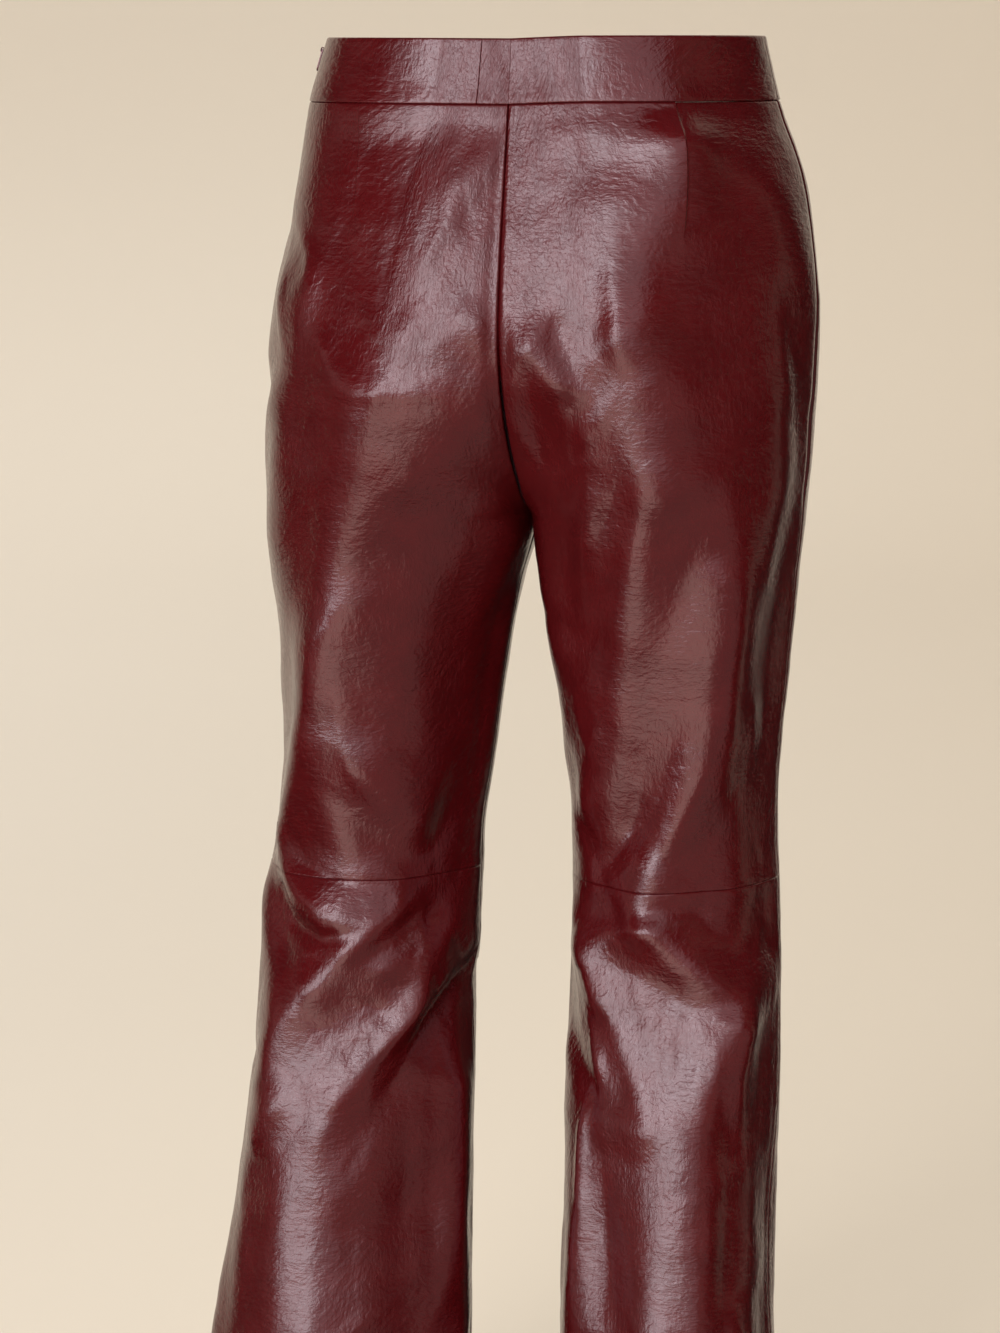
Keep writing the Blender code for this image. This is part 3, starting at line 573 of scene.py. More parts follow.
    def clear_of_zip(self, side: Side, around: np.ndarray, height: np.ndarray) -> np.ndarray:
        """0 where the zip's slider lies, which holds the cloth flat, and 1 away from it."""
        beside = np.exp(-(((around - SIDE) * QUARTER_ARC / self.zip_reach) ** 2)) * (side == LEFT)
        return 1 - beside * smooth_step((height - self.band_seam + self.zip_fade) / self.zip_fade)

    def small_relief(self, side: Side, around: np.ndarray, height: np.ndarray) -> np.ndarray:
        """The small creases and ripples that the looks add.

        Args:
            side: Which half of the garment.
            around, height: Places on it.

        Returns:
            Metres out, or in where less than 0.
        """
        lift = np.zeros(around.shape)
        for crease in CREASES[side]:
            lift += crease.rise * self.fold_share(crease, around, height)
        for size in RIPPLES:
            across = side * around * QUARTER_ARC / size.around
            lift += size.rise * noise_at(across, height / size.down, size.seed)
        from_seat = np.where(height > self.band_seam, 1.0, around - SEAT_SEAM)
        from_seam = np.minimum(from_seat, FRONT_SEAM - around) * QUARTER_ARC
        return lift * smooth_step(from_seam / self.relief_reach) * self.clear_of_zip(side, around, height)

    def waist_shift(self, side: Side, around: np.ndarray, height: np.ndarray) -> np.ndarray:
        """How far the waist lies lower at the front, and higher at the wearer's right side."""
        dip = self.front_dip * smooth_step((around - BACK) / (FRONT_SEAM - BACK))
        lift = self.right_lift * np.sin(around * math.pi / FRONT_SEAM) * (side == RIGHT)
        return (lift - dip) * smooth_step((height - self.shift_end) / self.shift_span)

    def place(
        self, side: Side, around: np.ndarray, height: np.ndarray, out: np.ndarray = 0.0, relief: float = 1.0
    ) -> np.ndarray:
        """Points of the garment.

        Args:
            side: Which half of the garment.
            around, height: Places on it.
            out: How far off the cloth's surface each point lies.
            relief: How much of the small creases and ripples to add.

        Returns:
            An array whose last axis is X, Y and Z.
        """
        around, height = np.broadcast_arrays(np.asarray(around, float), np.asarray(height, float))
        x, y = self.plain_section(side, around, height)
        before = self.plain_section(side, np.maximum(around - self.nudge, SEAT_SEAM), height)
        after = self.plain_section(side, np.minimum(around + self.nudge, FRONT_SEAM), height)
        run_x, run_y = after[0] - before[0], after[1] - before[1]
        length = np.hypot(run_x, run_y)
        normal_x, normal_y = -side * run_y / length, side * run_x / length
        lift = self.fold_height(side, around, height) + self.swell_height(side, around, height)
        if relief:
            lift = lift + relief * self.small_relief(side, around, height)
        least = self.seam_gap / 2
        from_middle = np.maximum(side * (x + normal_x * lift), least)
        from_middle = np.maximum(from_middle + side * normal_x * out, least)
        z = height + self.waist_shift(side, around, height)
        return np.stack([side * from_middle, y + normal_y * (lift + out), z], axis=-1)


# ------------------------------------------------------------------ node trees
class Graph:
    """A small builder for shader, world and geometry node trees."""

    def __init__(self, tree: bpy.types.NodeTree) -> None:
        """Start on an empty tree."""
        self.tree = tree
        tree.nodes.clear()

    def add(self, kind: str, inputs: Optional[dict] = None, **settings: object) -> bpy.types.Node:
        """Add a node.

        Args:
            kind: Blender's name of the node type.
            inputs: Sockets by name or number: a value, or an output socket to link.
            settings: The node's own properties.

        Returns:
            The new node.
        """
        made = self.tree.nodes.new(kind)
        for name, value in settings.items():
            setattr(made, name, value)
        for key, value in (inputs or {}).items():
            if isinstance(value, bpy.types.NodeSocket):
                self.tree.links.new(value, made.inputs[key])
            else:
                made.inputs[key].default_value = value
        return made

    def math(self, operation: str, *values: object, clamp: bool = False) -> bpy.types.NodeSocket:
        """The result of a math node on these values or sockets."""
        node = self.add("ShaderNodeMath", dict(enumerate(values)), operation=operation, use_clamp=clamp)
        return node.outputs[0]

    def ramp(self, value: bpy.types.NodeSocket, low: float, high: float) -> bpy.types.NodeSocket:
        """0 at low, 1 at high, and smooth between."""
        inputs = {"Value": value, "From Min": low, "From Max": high}
        return self.add("ShaderNodeMapRange", inputs, interpolation_type="SMOOTHSTEP").outputs[0]

    def blend(self, share: object, first: object, second: object) -> bpy.types.NodeSocket:
        """A colour between two others."""
        inputs = {0: share, 6: first, 7: second}
        return self.add("ShaderNodeMix", inputs, data_type="RGBA").outputs[2]


    def noise(self, place: bpy.types.NodeSocket, scale: object, **values: float) -> bpy.types.NodeSocket:
        """Noise at a place, with more of the node's inputs by their names."""
        return self.add("ShaderNodeTexNoise", {"Vector": place, "Scale": scale, **values}).outputs[0]


Colour = tuple[float, float, float, float]
CLOTH_MAP = "cloth"


def new_group(
    name: str, inputs: Sequence[tuple[str, str, float]], outputs: Sequence[tuple[str, str]]
) -> Graph:
    """A shader node group with named inputs and outputs.

    Args:
        name: The group's name.
        inputs: Name, socket type and default of each input.
        outputs: Name and socket type of each output.

    Returns:
        A builder on the group's empty tree.
    """
    tree = bpy.data.node_groups.new(name, "ShaderNodeTree")
    for label, kind, default in inputs:
        socket = tree.interface.new_socket(label, in_out="INPUT", socket_type=kind)
        if kind == "NodeSocketFloat":
            socket.default_value = default
    for label, kind in outputs:
        tree.interface.new_socket(label, in_out="OUTPUT", socket_type=kind)
    return Graph(tree)


class Effects:
    """The shader node groups that several finishes share."""

    def __init__(self) -> None:
        """Build each group once."""
        self.crinkle = self.make_crinkle()
        self.tone = self.make_tone()

    @staticmethod
    def make_crinkle() -> bpy.types.NodeTree:
        """Crinkled grain: fine wrinkles, across the cloth in places and down it in others.

        Returns:
            A group that puts out the Height of the grain, and a Mask of its crests.
        """
        inputs = (
            ("Vector", "NodeSocketVector", 0.0),
            ("Grain", "NodeSocketFloat", 620.0),
            ("Stretch", "NodeSocketFloat", 0.34),
            ("Dents", "NodeSocketFloat", 0.9),
            ("Streaks", "NodeSocketFloat", 0.8),
        )
        graph = new_group("crinkle", inputs, (("Height", "NodeSocketFloat"), ("Mask", "NodeSocketFloat")))
        group = graph.add("NodeGroupInput")
        place, stretch, grain = (group.outputs[name] for name in ("Vector", "Stretch", "Grain"))
        split = graph.add("ShaderNodeSeparateXYZ", {0: place})
        narrow = [graph.math("MULTIPLY", split.outputs[axis], stretch) for axis in (0, 1)]
        ways = (
            graph.add("ShaderNodeCombineXYZ", {0: narrow[0], 1: split.outputs[1]}),
            graph.add("ShaderNodeCombineXYZ", {0: split.outputs[0], 1: narrow[1], 2: 3.7}),
        )
        fine = [
            graph.noise(way.outputs[0], grain, Detail=3.0, Roughness=0.6, Distortion=0.4) for way in ways
        ]
        cloud = graph.noise(place, 14.0, Detail=2.0)
        both = graph.add("ShaderNodeMix", {0: graph.ramp(cloud, 0.40, 0.66), 2: fine[0], 3: fine[1]})
        wide = graph.noise(place, 170.0, Detail=2.0, Distortion=0.8)
        turned = graph.add(
            "ShaderNodeMapping",
            {"Vector": place, "Rotation": (0.0, 0.0, 0.75), "Scale": (1.0, 9.0, 1.0)},
            vector_type="TEXTURE",
        )
        long = graph.noise(turned.outputs[0], 230.0, Detail=3.0)
        where = graph.ramp(graph.noise(place, 9.0, Detail=1.0), 0.46, 0.66)
        streaks = graph.math("MULTIPLY", where, group.outputs["Streaks"])
        height = graph.math("MULTIPLY_ADD", wide, group.outputs["Dents"], both.outputs[0])
        height = graph.math("MULTIPLY_ADD", long, streaks, height)
        graph.add("NodeGroupOutput", {"Height": height, "Mask": graph.ramp(both.outputs[0], 0.36, 0.64)})
        return graph.tree

    @staticmethod
    def make_tone() -> bpy.types.NodeTree:
        """Uneven colour: two tones mixed in soft clouds.

        Returns:
            A group that puts out the Color and the Mask that mixed it.
        """
        inputs = (
            ("Vector", "NodeSocketVector", 0.0),
            ("Dark", "NodeSocketColor", 0.0),
            ("Light", "NodeSocketColor", 0.0),
            ("Scale", "NodeSocketFloat", 30.0),
        )
        graph = new_group("tone", inputs, (("Color", "NodeSocketColor"), ("Mask", "NodeSocketFloat")))
        group = graph.add("NodeGroupInput")
        cloud = graph.noise(group.outputs["Vector"], group.outputs["Scale"], Detail=4.0)
        mask = graph.ramp(cloud, 0.3, 0.7)
        colour = graph.blend(mask, group.outputs["Dark"], group.outputs["Light"])
        graph.add("NodeGroupOutput", {"Color": colour, "Mask": mask})
        return graph.tree


class Surface:
    """A material in the making: a Principled shader, and what feeds it."""

    def __init__(self, name: str, **values: object) -> None:
        """Start a material.

        Args:
            name: The material's name.
            values: Constant values of the shader's sockets, with _ for a space.
        """
        self.material = bpy.data.materials.new(name)
        self.material.use_nodes = True
        self.graph = Graph(self.material.node_tree)
        inputs = {key.replace("_", " "): value for key, value in values.items()}
        self.shader = self.graph.add("ShaderNodeBsdfPrincipled", inputs)
        self.graph.add("ShaderNodeOutputMaterial", {"Surface": self.shader.outputs[0]})

    def feed(self, socket: str, value: bpy.types.NodeSocket) -> None:
        """Link a value to one of the shader's sockets."""
        self.graph.tree.links.new(value, self.shader.inputs[socket])

    def on_cloth(self) -> bpy.types.NodeSocket:
        """Places on the piece's own UV map."""
        return self.graph.add("ShaderNodeUVMap", uv_map=CLOTH_MAP).outputs[0]

    def on_object(self) -> bpy.types.NodeSocket:
        """Places in Object coordinates."""
        return self.graph.add("ShaderNodeTexCoord").outputs["Object"]

    def effect(
        self, group: bpy.types.NodeTree, place: bpy.types.NodeSocket, **values: object
    ) -> bpy.types.Node:
        """A shared effect at a place, with its own values."""
        return self.graph.add("ShaderNodeGroup", {"Vector": place, **values}, node_tree=group)

    def weave(self, place: bpy.types.NodeSocket, scale: float, ways: Sequence[str]) -> bpy.types.NodeSocket:
        """Crossed bands along two axes."""
        waves = [
            self.graph.add(
                "ShaderNodeTexWave", {"Vector": place, "Scale": scale}, wave_type="BANDS", bands_direction=way
            ).outputs[1]
            for way in ways
        ]
        return self.graph.math("MULTIPLY", *waves)

    def gloss(self, mask: bpy.types.NodeSocket, low: float, high: float) -> None:
        """Let the roughness go from low to high with a mask."""
        node = self.graph.add("ShaderNodeMapRange", {"Value": mask, "To Min": low, "To Max": high})
        self.feed("Roughness", node.outputs[0])

    def bump(self, height: bpy.types.NodeSocket, distance: float, strength: float = 1.0) -> None:
        """Raise the surface by a height."""
        inputs = {"Height": height, "Distance": distance, "Strength": strength}
        self.feed("Normal", self.graph.add("ShaderNodeBump", inputs).outputs[0])


@dataclass(frozen=True)
class LeatherFinish:
    """Glossy crinkled coated cloth, dark burgundy, on the piece's own UV map."""

    name: str = "burgundy_faux_leather"
    dark: Colour = (0.050, 0.0022, 0.0033, 1.0)
    light: Colour = (0.060, 0.0030, 0.0042, 1.0)
    mottle: float = 38.0
    grain: float = 400.0
    depth: float = 0.00052
    low_gloss: float = 0.21
    high_gloss: float = 0.12
    streaks: float = 0.8

    def make(self, effects: Effects) -> bpy.types.Material:
        """The material."""
        made = Surface(self.name, Coat_Weight=0.15, Coat_Roughness=0.12, Coat_IOR=1.5, IOR=1.5)
        place = made.on_cloth()
        tone = made.effect(effects.tone, place, Dark=self.dark, Light=self.light, Scale=self.mottle)
        crinkle = made.effect(effects.crinkle, place, Grain=self.grain, Streaks=self.streaks)
        made.feed("Base Color", tone.outputs["Color"])
        made.gloss(crinkle.outputs["Mask"], self.low_gloss, self.high_gloss)
        made.bump(crinkle.outputs["Height"], self.depth)
        return made.material


@dataclass(frozen=True)
class WovenFinish:
    """Knitted or woven cloth, dyed to match. ways are the two axes that its threads follow."""

    name: str
    dark: Colour
    light: Colour
    mottle: float
    threads: float
    ways: str
    on_map: bool
    roughness: float
    sheen: float
    depth: float
    strength: float = 0.8

    def make(self, effects: Effects) -> bpy.types.Material:
        """The material."""
        made = Surface(self.name, Roughness=self.roughness, Sheen_Weight=self.sheen)
        place = made.on_cloth() if self.on_map else made.on_object()
        tone = made.effect(effects.tone, place, Dark=self.dark, Light=self.light, Scale=self.mottle)
        made.feed("Base Color", tone.outputs["Color"])
        made.bump(made.weave(place, self.threads, self.ways), self.depth, self.strength)
        return made.material


@dataclass(frozen=True)
class SmallPartFinish:
    """Thread, nylon or enamelled metal, with uneven tone and gloss, on Object coordinates."""

    name: str
    dark: Colour
    light: Colour
    roughness: tuple[float, float]
    metallic: float = 0.0
    coat: float = 0.0
    depth: float = 0.00004
    mottle: float = 900.0

    def make(self, effects: Effects) -> bpy.types.Material:
        """The material."""
        made = Surface(self.name, Metallic=self.metallic, Coat_Weight=self.coat, Coat_Roughness=0.1)
        place = made.on_object()
        tone = made.effect(effects.tone, place, Dark=self.dark, Light=self.light, Scale=self.mottle)
        made.feed("Base Color", tone.outputs["Color"])
        made.gloss(tone.outputs["Mask"], *self.roughness)
        made.bump(tone.outputs["Mask"], self.depth)
        return made.material


class Finishes:
    """Every finish of the trousers, made once."""

    def __init__(self) -> None:
        """Make the shared effects and the materials."""
        effects = Effects()
        self.leather = LeatherFinish().make(effects)
        self.band_leather = LeatherFinish("burgundy_faux_leather_band", streaks=2.2).make(effects)
        backing = WovenFinish(
            name="knitted_backing",
            dark=(0.040, 0.010, 0.013, 1.0),
            light=(0.075, 0.022, 0.026, 1.0),
            mottle=120.0,
            threads=620.0,
            ways="XY",
            on_map=True,
            roughness=0.92,
            sheen=0.25,
            depth=0.0003,
        )
        tape = WovenFinish(
            name="woven_zip_tape",
            dark=(0.030, 0.006, 0.009, 1.0),
            light=(0.060, 0.014, 0.018, 1.0),
            mottle=300.0,
            threads=900.0,
            ways="YZ",
            on_map=False,
            roughness=0.85,
            sheen=0.2,
            depth=0.0002,
        )
        self.backing = backing.make(effects)
        self.tape = tape.make(effects)
        self.thread = SmallPartFinish(
            "sewing_thread", (0.05, 0.008, 0.012, 1.0), (0.11, 0.022, 0.030, 1.0), (0.45, 0.7)
        ).make(effects)
        self.coil = SmallPartFinish(
            "nylon_zip_coil", (0.035, 0.007, 0.010, 1.0), (0.06, 0.012, 0.017, 1.0), (0.3, 0.45)
        ).make(effects)
        self.enamel = SmallPartFinish(
            "burgundy_enamel",
            (0.058, 0.010, 0.014, 1.0),
            (0.075, 0.014, 0.018, 1.0),
            (0.22, 0.4),
            metallic=0.4,
            coat=0.5,
        ).make(effects)


# ---------------------------------------------------------------- mesh helpers
def link_object(name: str, data: bpy.types.ID) -> bpy.types.Object:
    """A new object in the scene, at the origin."""
    made = bpy.data.objects.new(name, data)
    bpy.context.scene.collection.objects.link(made)
    return made


def declare(piece: bpy.types.Object, body: str = BODY, node: Optional[str] = None) -> None:
    """Say what a finished piece rides on and the CAD node that it replaces, and report it."""
    if node:
        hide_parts(node)
    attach(piece, body)
    log.info("%s: %d faces", piece.name, len(piece.data.polygons))


def grid_piece(
    name: str,
    points: np.ndarray,
    uv: Optional[np.ndarray],
    materials: Sequence[bpy.types.Material],
    outward: float,
    ring: bool = False,
) -> bpy.types.Object:
    """A sheet of quads through a grid of points.

    Args:
        name: The piece's name.
        points: Columns by rows by X, Y, Z.
        uv: Columns by rows by 2, for the map named cloth, or None.
        materials: The piece's material slots.
        outward: 1 where faces wound by columns then rows point out, and -1 where they don't.
        ring: Whether the rows close into a ring, with the two ends capped.

    Returns:
        The object, shaded smooth.
    """
    columns, rows = points.shape[:2]
    index = np.arange(columns * rows).reshape(columns, rows)
    after = np.roll(index, -1, axis=1) if ring else index
    here, down = (index, after) if ring else (index[:, :-1], index[:, 1:])
    quads = np.stack([here[:-1], here[1:], down[1:], down[:-1]], axis=-1).reshape(-1, 4)
    if outward < 0:
        quads = quads[:, ::-1]
    faces = quads.tolist()
    if ring:
        caps = [index[0].tolist(), index[-1][::-1].tolist()]
        faces += caps if outward > 0 else [cap[::-1] for cap in caps]
    mesh = bpy.data.meshes.new(name)
    mesh.from_pydata(points.reshape(-1, 3).tolist(), [], faces)
    if uv is not None:
        layer = mesh.uv_layers.new(name=CLOTH_MAP)
        corners = np.empty(len(mesh.loops), dtype=np.int64)
        mesh.loops.foreach_get("vertex_index", corners)
        layer.data.foreach_set("uv", uv.reshape(-1, 2)[corners].astype(np.float32).ravel())
    for material in materials:
        mesh.materials.append(material)
    mesh.shade_smooth()
    return link_object(name, mesh)


def spread(
    start: float, end: float, edge: Sequence[float], step: float, extra: Iterable[float] = ()
) -> np.ndarray:
    """Positions from one edge of a piece to the other, close together beside both.

    Args:
        start, end: The two edges.
        edge: Distances from an edge that each get a position.
        step: The spacing between.
        extra: More positions that are needed exactly.

    Returns:
        The positions, in order from start.
    """
    way = math.copysign(1.0, end - start)
    inner = [start + way * edge[-1], end - way * edge[-1]]
    count = max(2, round(abs(inner[1] - inner[0]) / step))
    places = [start + way * offset for offset in edge[:-1]] + [end - way * offset for offset in edge[:-1]]
    extra = list(extra)
    middle = np.linspace(inner[0], inner[1], count + 1)
    clear = [place for place in middle if all(abs(place - other) > step * 0.35 for other in extra)]
    return np.array(sorted(set(places + clear + extra), reverse=way < 0))


@dataclass
class SewnEdge:
    """How cloth rolls in beside a seam, over the allowance that is pressed under it."""

    roll: float = 0.0011
    drop: float = 0.0012
    allowance: float = 0.0085
    allowance_lift: float = 0.00035
    fade: float = 0.0018
    near: tuple[float, ...] = (0.0, 0.00008, 0.0003, 0.0006, 0.0010, 0.0018, 0.0036, 0.0062)

    def sink(self, distance: np.ndarray) -> np.ndarray:
        """How far the cloth lies out from its surface at these distances from the seam."""
        turned = np.clip(1 - distance / self.roll, 0, 1)
        pressed = smooth_step((self.allowance - distance) / self.fade)
        return self.allowance_lift * pressed - self.drop * (1 - np.sqrt(1 - turned**2))


@dataclass
class Dart:
    """A dart's sewn line, from the waistband down, on one back panel."""

    side: Side
    around: float
    to_around: float
    end: float
    step_in: float = 0.0012
    strength: float = 1.0
    end_fade: float = 0.012
    step_down: float = 0.0011
    step_edge: float = 0.0004
    step_reach: float = 0.010
    kink_edge: float = 0.010
    kink_reach: float = 0.045
    kink_below: float = 0.03
    kink_fade: float = 0.06
    near: tuple[float, ...] = (
        (-0.0034, -0.0016, -0.0009, -0.0005, -0.0002, 0.0) + (0.0002, 0.0005, 0.0009, 0.0014, 0.0020, 0.0034)
    )

    def line(self, height: np.ndarray, top: float) -> np.ndarray:
        """Where the dart lies at these heights."""
        share = np.clip((height - top) / (self.end - top), 0, 1)
        return self.around + (self.to_around - self.around) * share

    def relief(self, around: np.ndarray, height: np.ndarray, top: float) -> np.ndarray:
        """How far out the cloth lies: the step where it is folded under, and the angle beyond it."""
        across = (around - self.line(height, top)) * QUARTER_ARC
        beyond = np.maximum(across, 0.0)
        step = -self.step_down * (1 - np.exp(-beyond / self.step_edge)) * np.exp(-beyond / self.step_reach)
        far = np.exp(-((beyond / self.kink_reach) ** 2))
        kink = -self.step_in * (1 - np.exp(-beyond / self.kink_edge)) * far
        fade = smooth_step((height - self.end) / self.end_fade)
        kink_fade = smooth_step((height - self.end + self.kink_below) / self.kink_fade)
        return (step * fade + kink * kink_fade) * self.strength


DARTS = (Dart(RIGHT, 1.34, 1.28, -0.127, 0.0022), Dart(LEFT, 1.33, 1.24, -0.120, 0.0006, 0.25))


class PanelCut(NamedTuple):
    """One cloth panel: its place, and the size of its whole flat cut."""

    name: str
    side: Side
    first: float
    last: float
    top: float
    bottom: float
    flat: tuple[float, float]
    area: float


@dataclass
class Panels:
    """The eight cloth panels, with rolled seams, darts, creases and a knitted backing."""

    form: TrousersForm
    finishes: Finishes
    edge: SewnEdge = field(default_factory=SewnEdge)
    step: float = 0.0030
    wall: float = 0.0013
    end_depth: float = 0.5
    tuck: float = 0.0012
    cross: float = 0.0005
    cross_fade: float = 0.004
    seat_fade: float = 0.03
    ridge: tuple[float, float, float] = (0.00055, 0.0021, 0.0011)
    hollow: tuple[float, float] = (0.0015, 0.0027)
    deepens: tuple[float, float] = (-0.10, 0.12)
    hem_roll: float = 0.0022
    hem_drop: float = 0.0020
    hem_line: tuple[float, float, float] = (0.0005, 0.024, 0.0016)

    def pressed(self, side: Side, distance: np.ndarray, height: np.ndarray) -> np.ndarray:
        """The ridge left of the seat seam and the hollow right of it, where the allowance is pressed over."""
        at_seat = smooth_step((height - self.form.crotch) / self.seat_fade)
        if side is LEFT:
            rise, middle, reach = self.ridge
            return rise * at_seat * np.exp(-(((distance - middle) / reach) ** 2))
        depth, reach = self.hollow
        start, span = self.deepens
        deeper = 0.5 + 0.5 * smooth_step((start - height) / span)
        return -depth * at_seat * deeper * np.exp(-((distance / reach) ** 2))

    def cuts(self) -> list[PanelCut]:
        """The eight panels' cuts."""
        seam = self.form.seam_gap / 2
        beside = seam / QUARTER_ARC
        rows = {
            "upper": (self.form.band_seam - seam, self.form.knee_seam + seam, (0.285, 0.530), 0.139),
            "lower": (self.form.knee_seam - seam, self.form.hem, (0.320, 0.520), 0.139),
        }
        faces = {"back": (SEAT_SEAM + beside, SIDE - beside), "front": (SIDE + beside, FRONT_SEAM - beside)}
        return [
            PanelCut(f"{part}_{face}_{side.name.lower()}", side, first, last, top, bottom, flat, area)
            for part, (top, bottom, flat, area) in rows.items()
            for face, (first, last) in faces.items()
            for side in Side
        ]

    def make(self, cut: PanelCut) -> bpy.types.Object:
        """Build and dress one panel.

        Args:
            cut: Which panel.

        Returns:
            The finished piece, riding on its body.
        """
        upper = cut.top > self.form.knee_seam
        darts = [dart for dart in DARTS if dart.side == cut.side and cut.first < BACK and upper]
        extra = [dart.around + offset / QUARTER_ARC for dart in darts for offset in dart.near]
        near = [offset / QUARTER_ARC for offset in self.edge.near]
        columns = spread(cut.first, cut.last, near, self.step / QUARTER_ARC, extra)
        rows = spread(cut.top, cut.bottom, self.edge.near, self.step)
        around, height = np.meshgrid(columns, rows, indexing="ij")
        for dart in darts:
            inside = (around - cut.first) / (dart.around - cut.first)
            outside = (cut.last - around) / (cut.last - dart.around)
            share = np.clip(np.minimum(inside, outside), 0, 1)
            around = around + (dart.line(height, cut.top) - dart.around) * share
        from_side = np.minimum(around - cut.first, cut.last - around) * QUARTER_ARC
        from_end = np.minimum(cut.top - height, height - cut.bottom)
        if cut.bottom == self.form.hem:
            from_end = cut.top - height
        out = self.edge.sink(from_side) + self.end_depth * self.edge.sink(from_end)
        if cut.first < BACK:
            out = out + self.pressed(cut.side, from_side, height)
        for dart in darts:
            out = out + dart.relief(around, height, cut.top)
        out = out - self.hem_turn(height) if cut.bottom == self.form.hem else out
        points = self.tucked(self.form.place(cut.side, around, height, out), cut)
        uv = np.stack([around * QUARTER_ARC * cut.side, height], axis=-1)
        uv = np.pad(uv, ((1, 1), (1, int(cut.bottom != self.form.hem)), (0, 0)), mode="edge")
        materials = (self.finishes.leather, self.finishes.backing)
        piece = grid_piece(cut.name + "_cloth", points, uv, materials, cut.side)
        solid = piece.modifiers.new("wall", "SOLIDIFY")
        solid.thickness = self.wall
        solid.offset = -1.0
        solid.material_offset = 1
        declare(piece, node=cut.name)
        return piece

    def tucked(self, points: np.ndarray, cut: PanelCut) -> np.ndarray:
        """The panel with a narrow flange past each sewn edge, which closes the seam from behind.

        Args:
            points: Columns by rows by X, Y, Z.
            cut: Which panel. Its hem isn't sewn to anything, so it gets no flange.

        Returns:
            The points with the flanges' rows and columns added.
        """
        centre_end = 0 if cut.first < BACK else -1
        for axis, ends in ((0, (0, -1)), (1, (0,) if cut.bottom == self.form.hem else (0, -1))):
            for end in ends:
                edge = points.take([end], axis=axis)
                inner = len(self.edge.near) - 2
                within = points.take([inner if end == 0 else -1 - inner], axis=axis)
                away = (edge - within) / np.linalg.norm(edge - within, axis=-1, keepdims=True)
                flange = edge + self.tuck * away
                if axis == 0 and end == centre_end:
                    between_legs = smooth_step(0.5 + (edge[..., 2] - self.form.crotch) / self.cross_fade)
                    flange[..., 0] -= cut.side * self.cross * between_legs
                points = np.concatenate([flange, points] if end == 0 else [points, flange], axis=axis)
        return points

    def hem_turn(self, height: np.ndarray) -> np.ndarray:
        """How the hem rolls in at the leg opening, and the dent of its sewn line."""
        above = height - self.form.hem
        roll = np.clip(1 - above / self.hem_roll, 0, 1)
        depth, middle, reach = self.hem_line
        dent = depth * np.exp(-(((above - middle) / reach) ** 2))
        return dent + self.hem_drop * (1 - np.sqrt(1 - roll**2))

    def build(self) -> None:
        """Build every panel."""
        for cut in self.cuts():
            piece = self.make(cut)


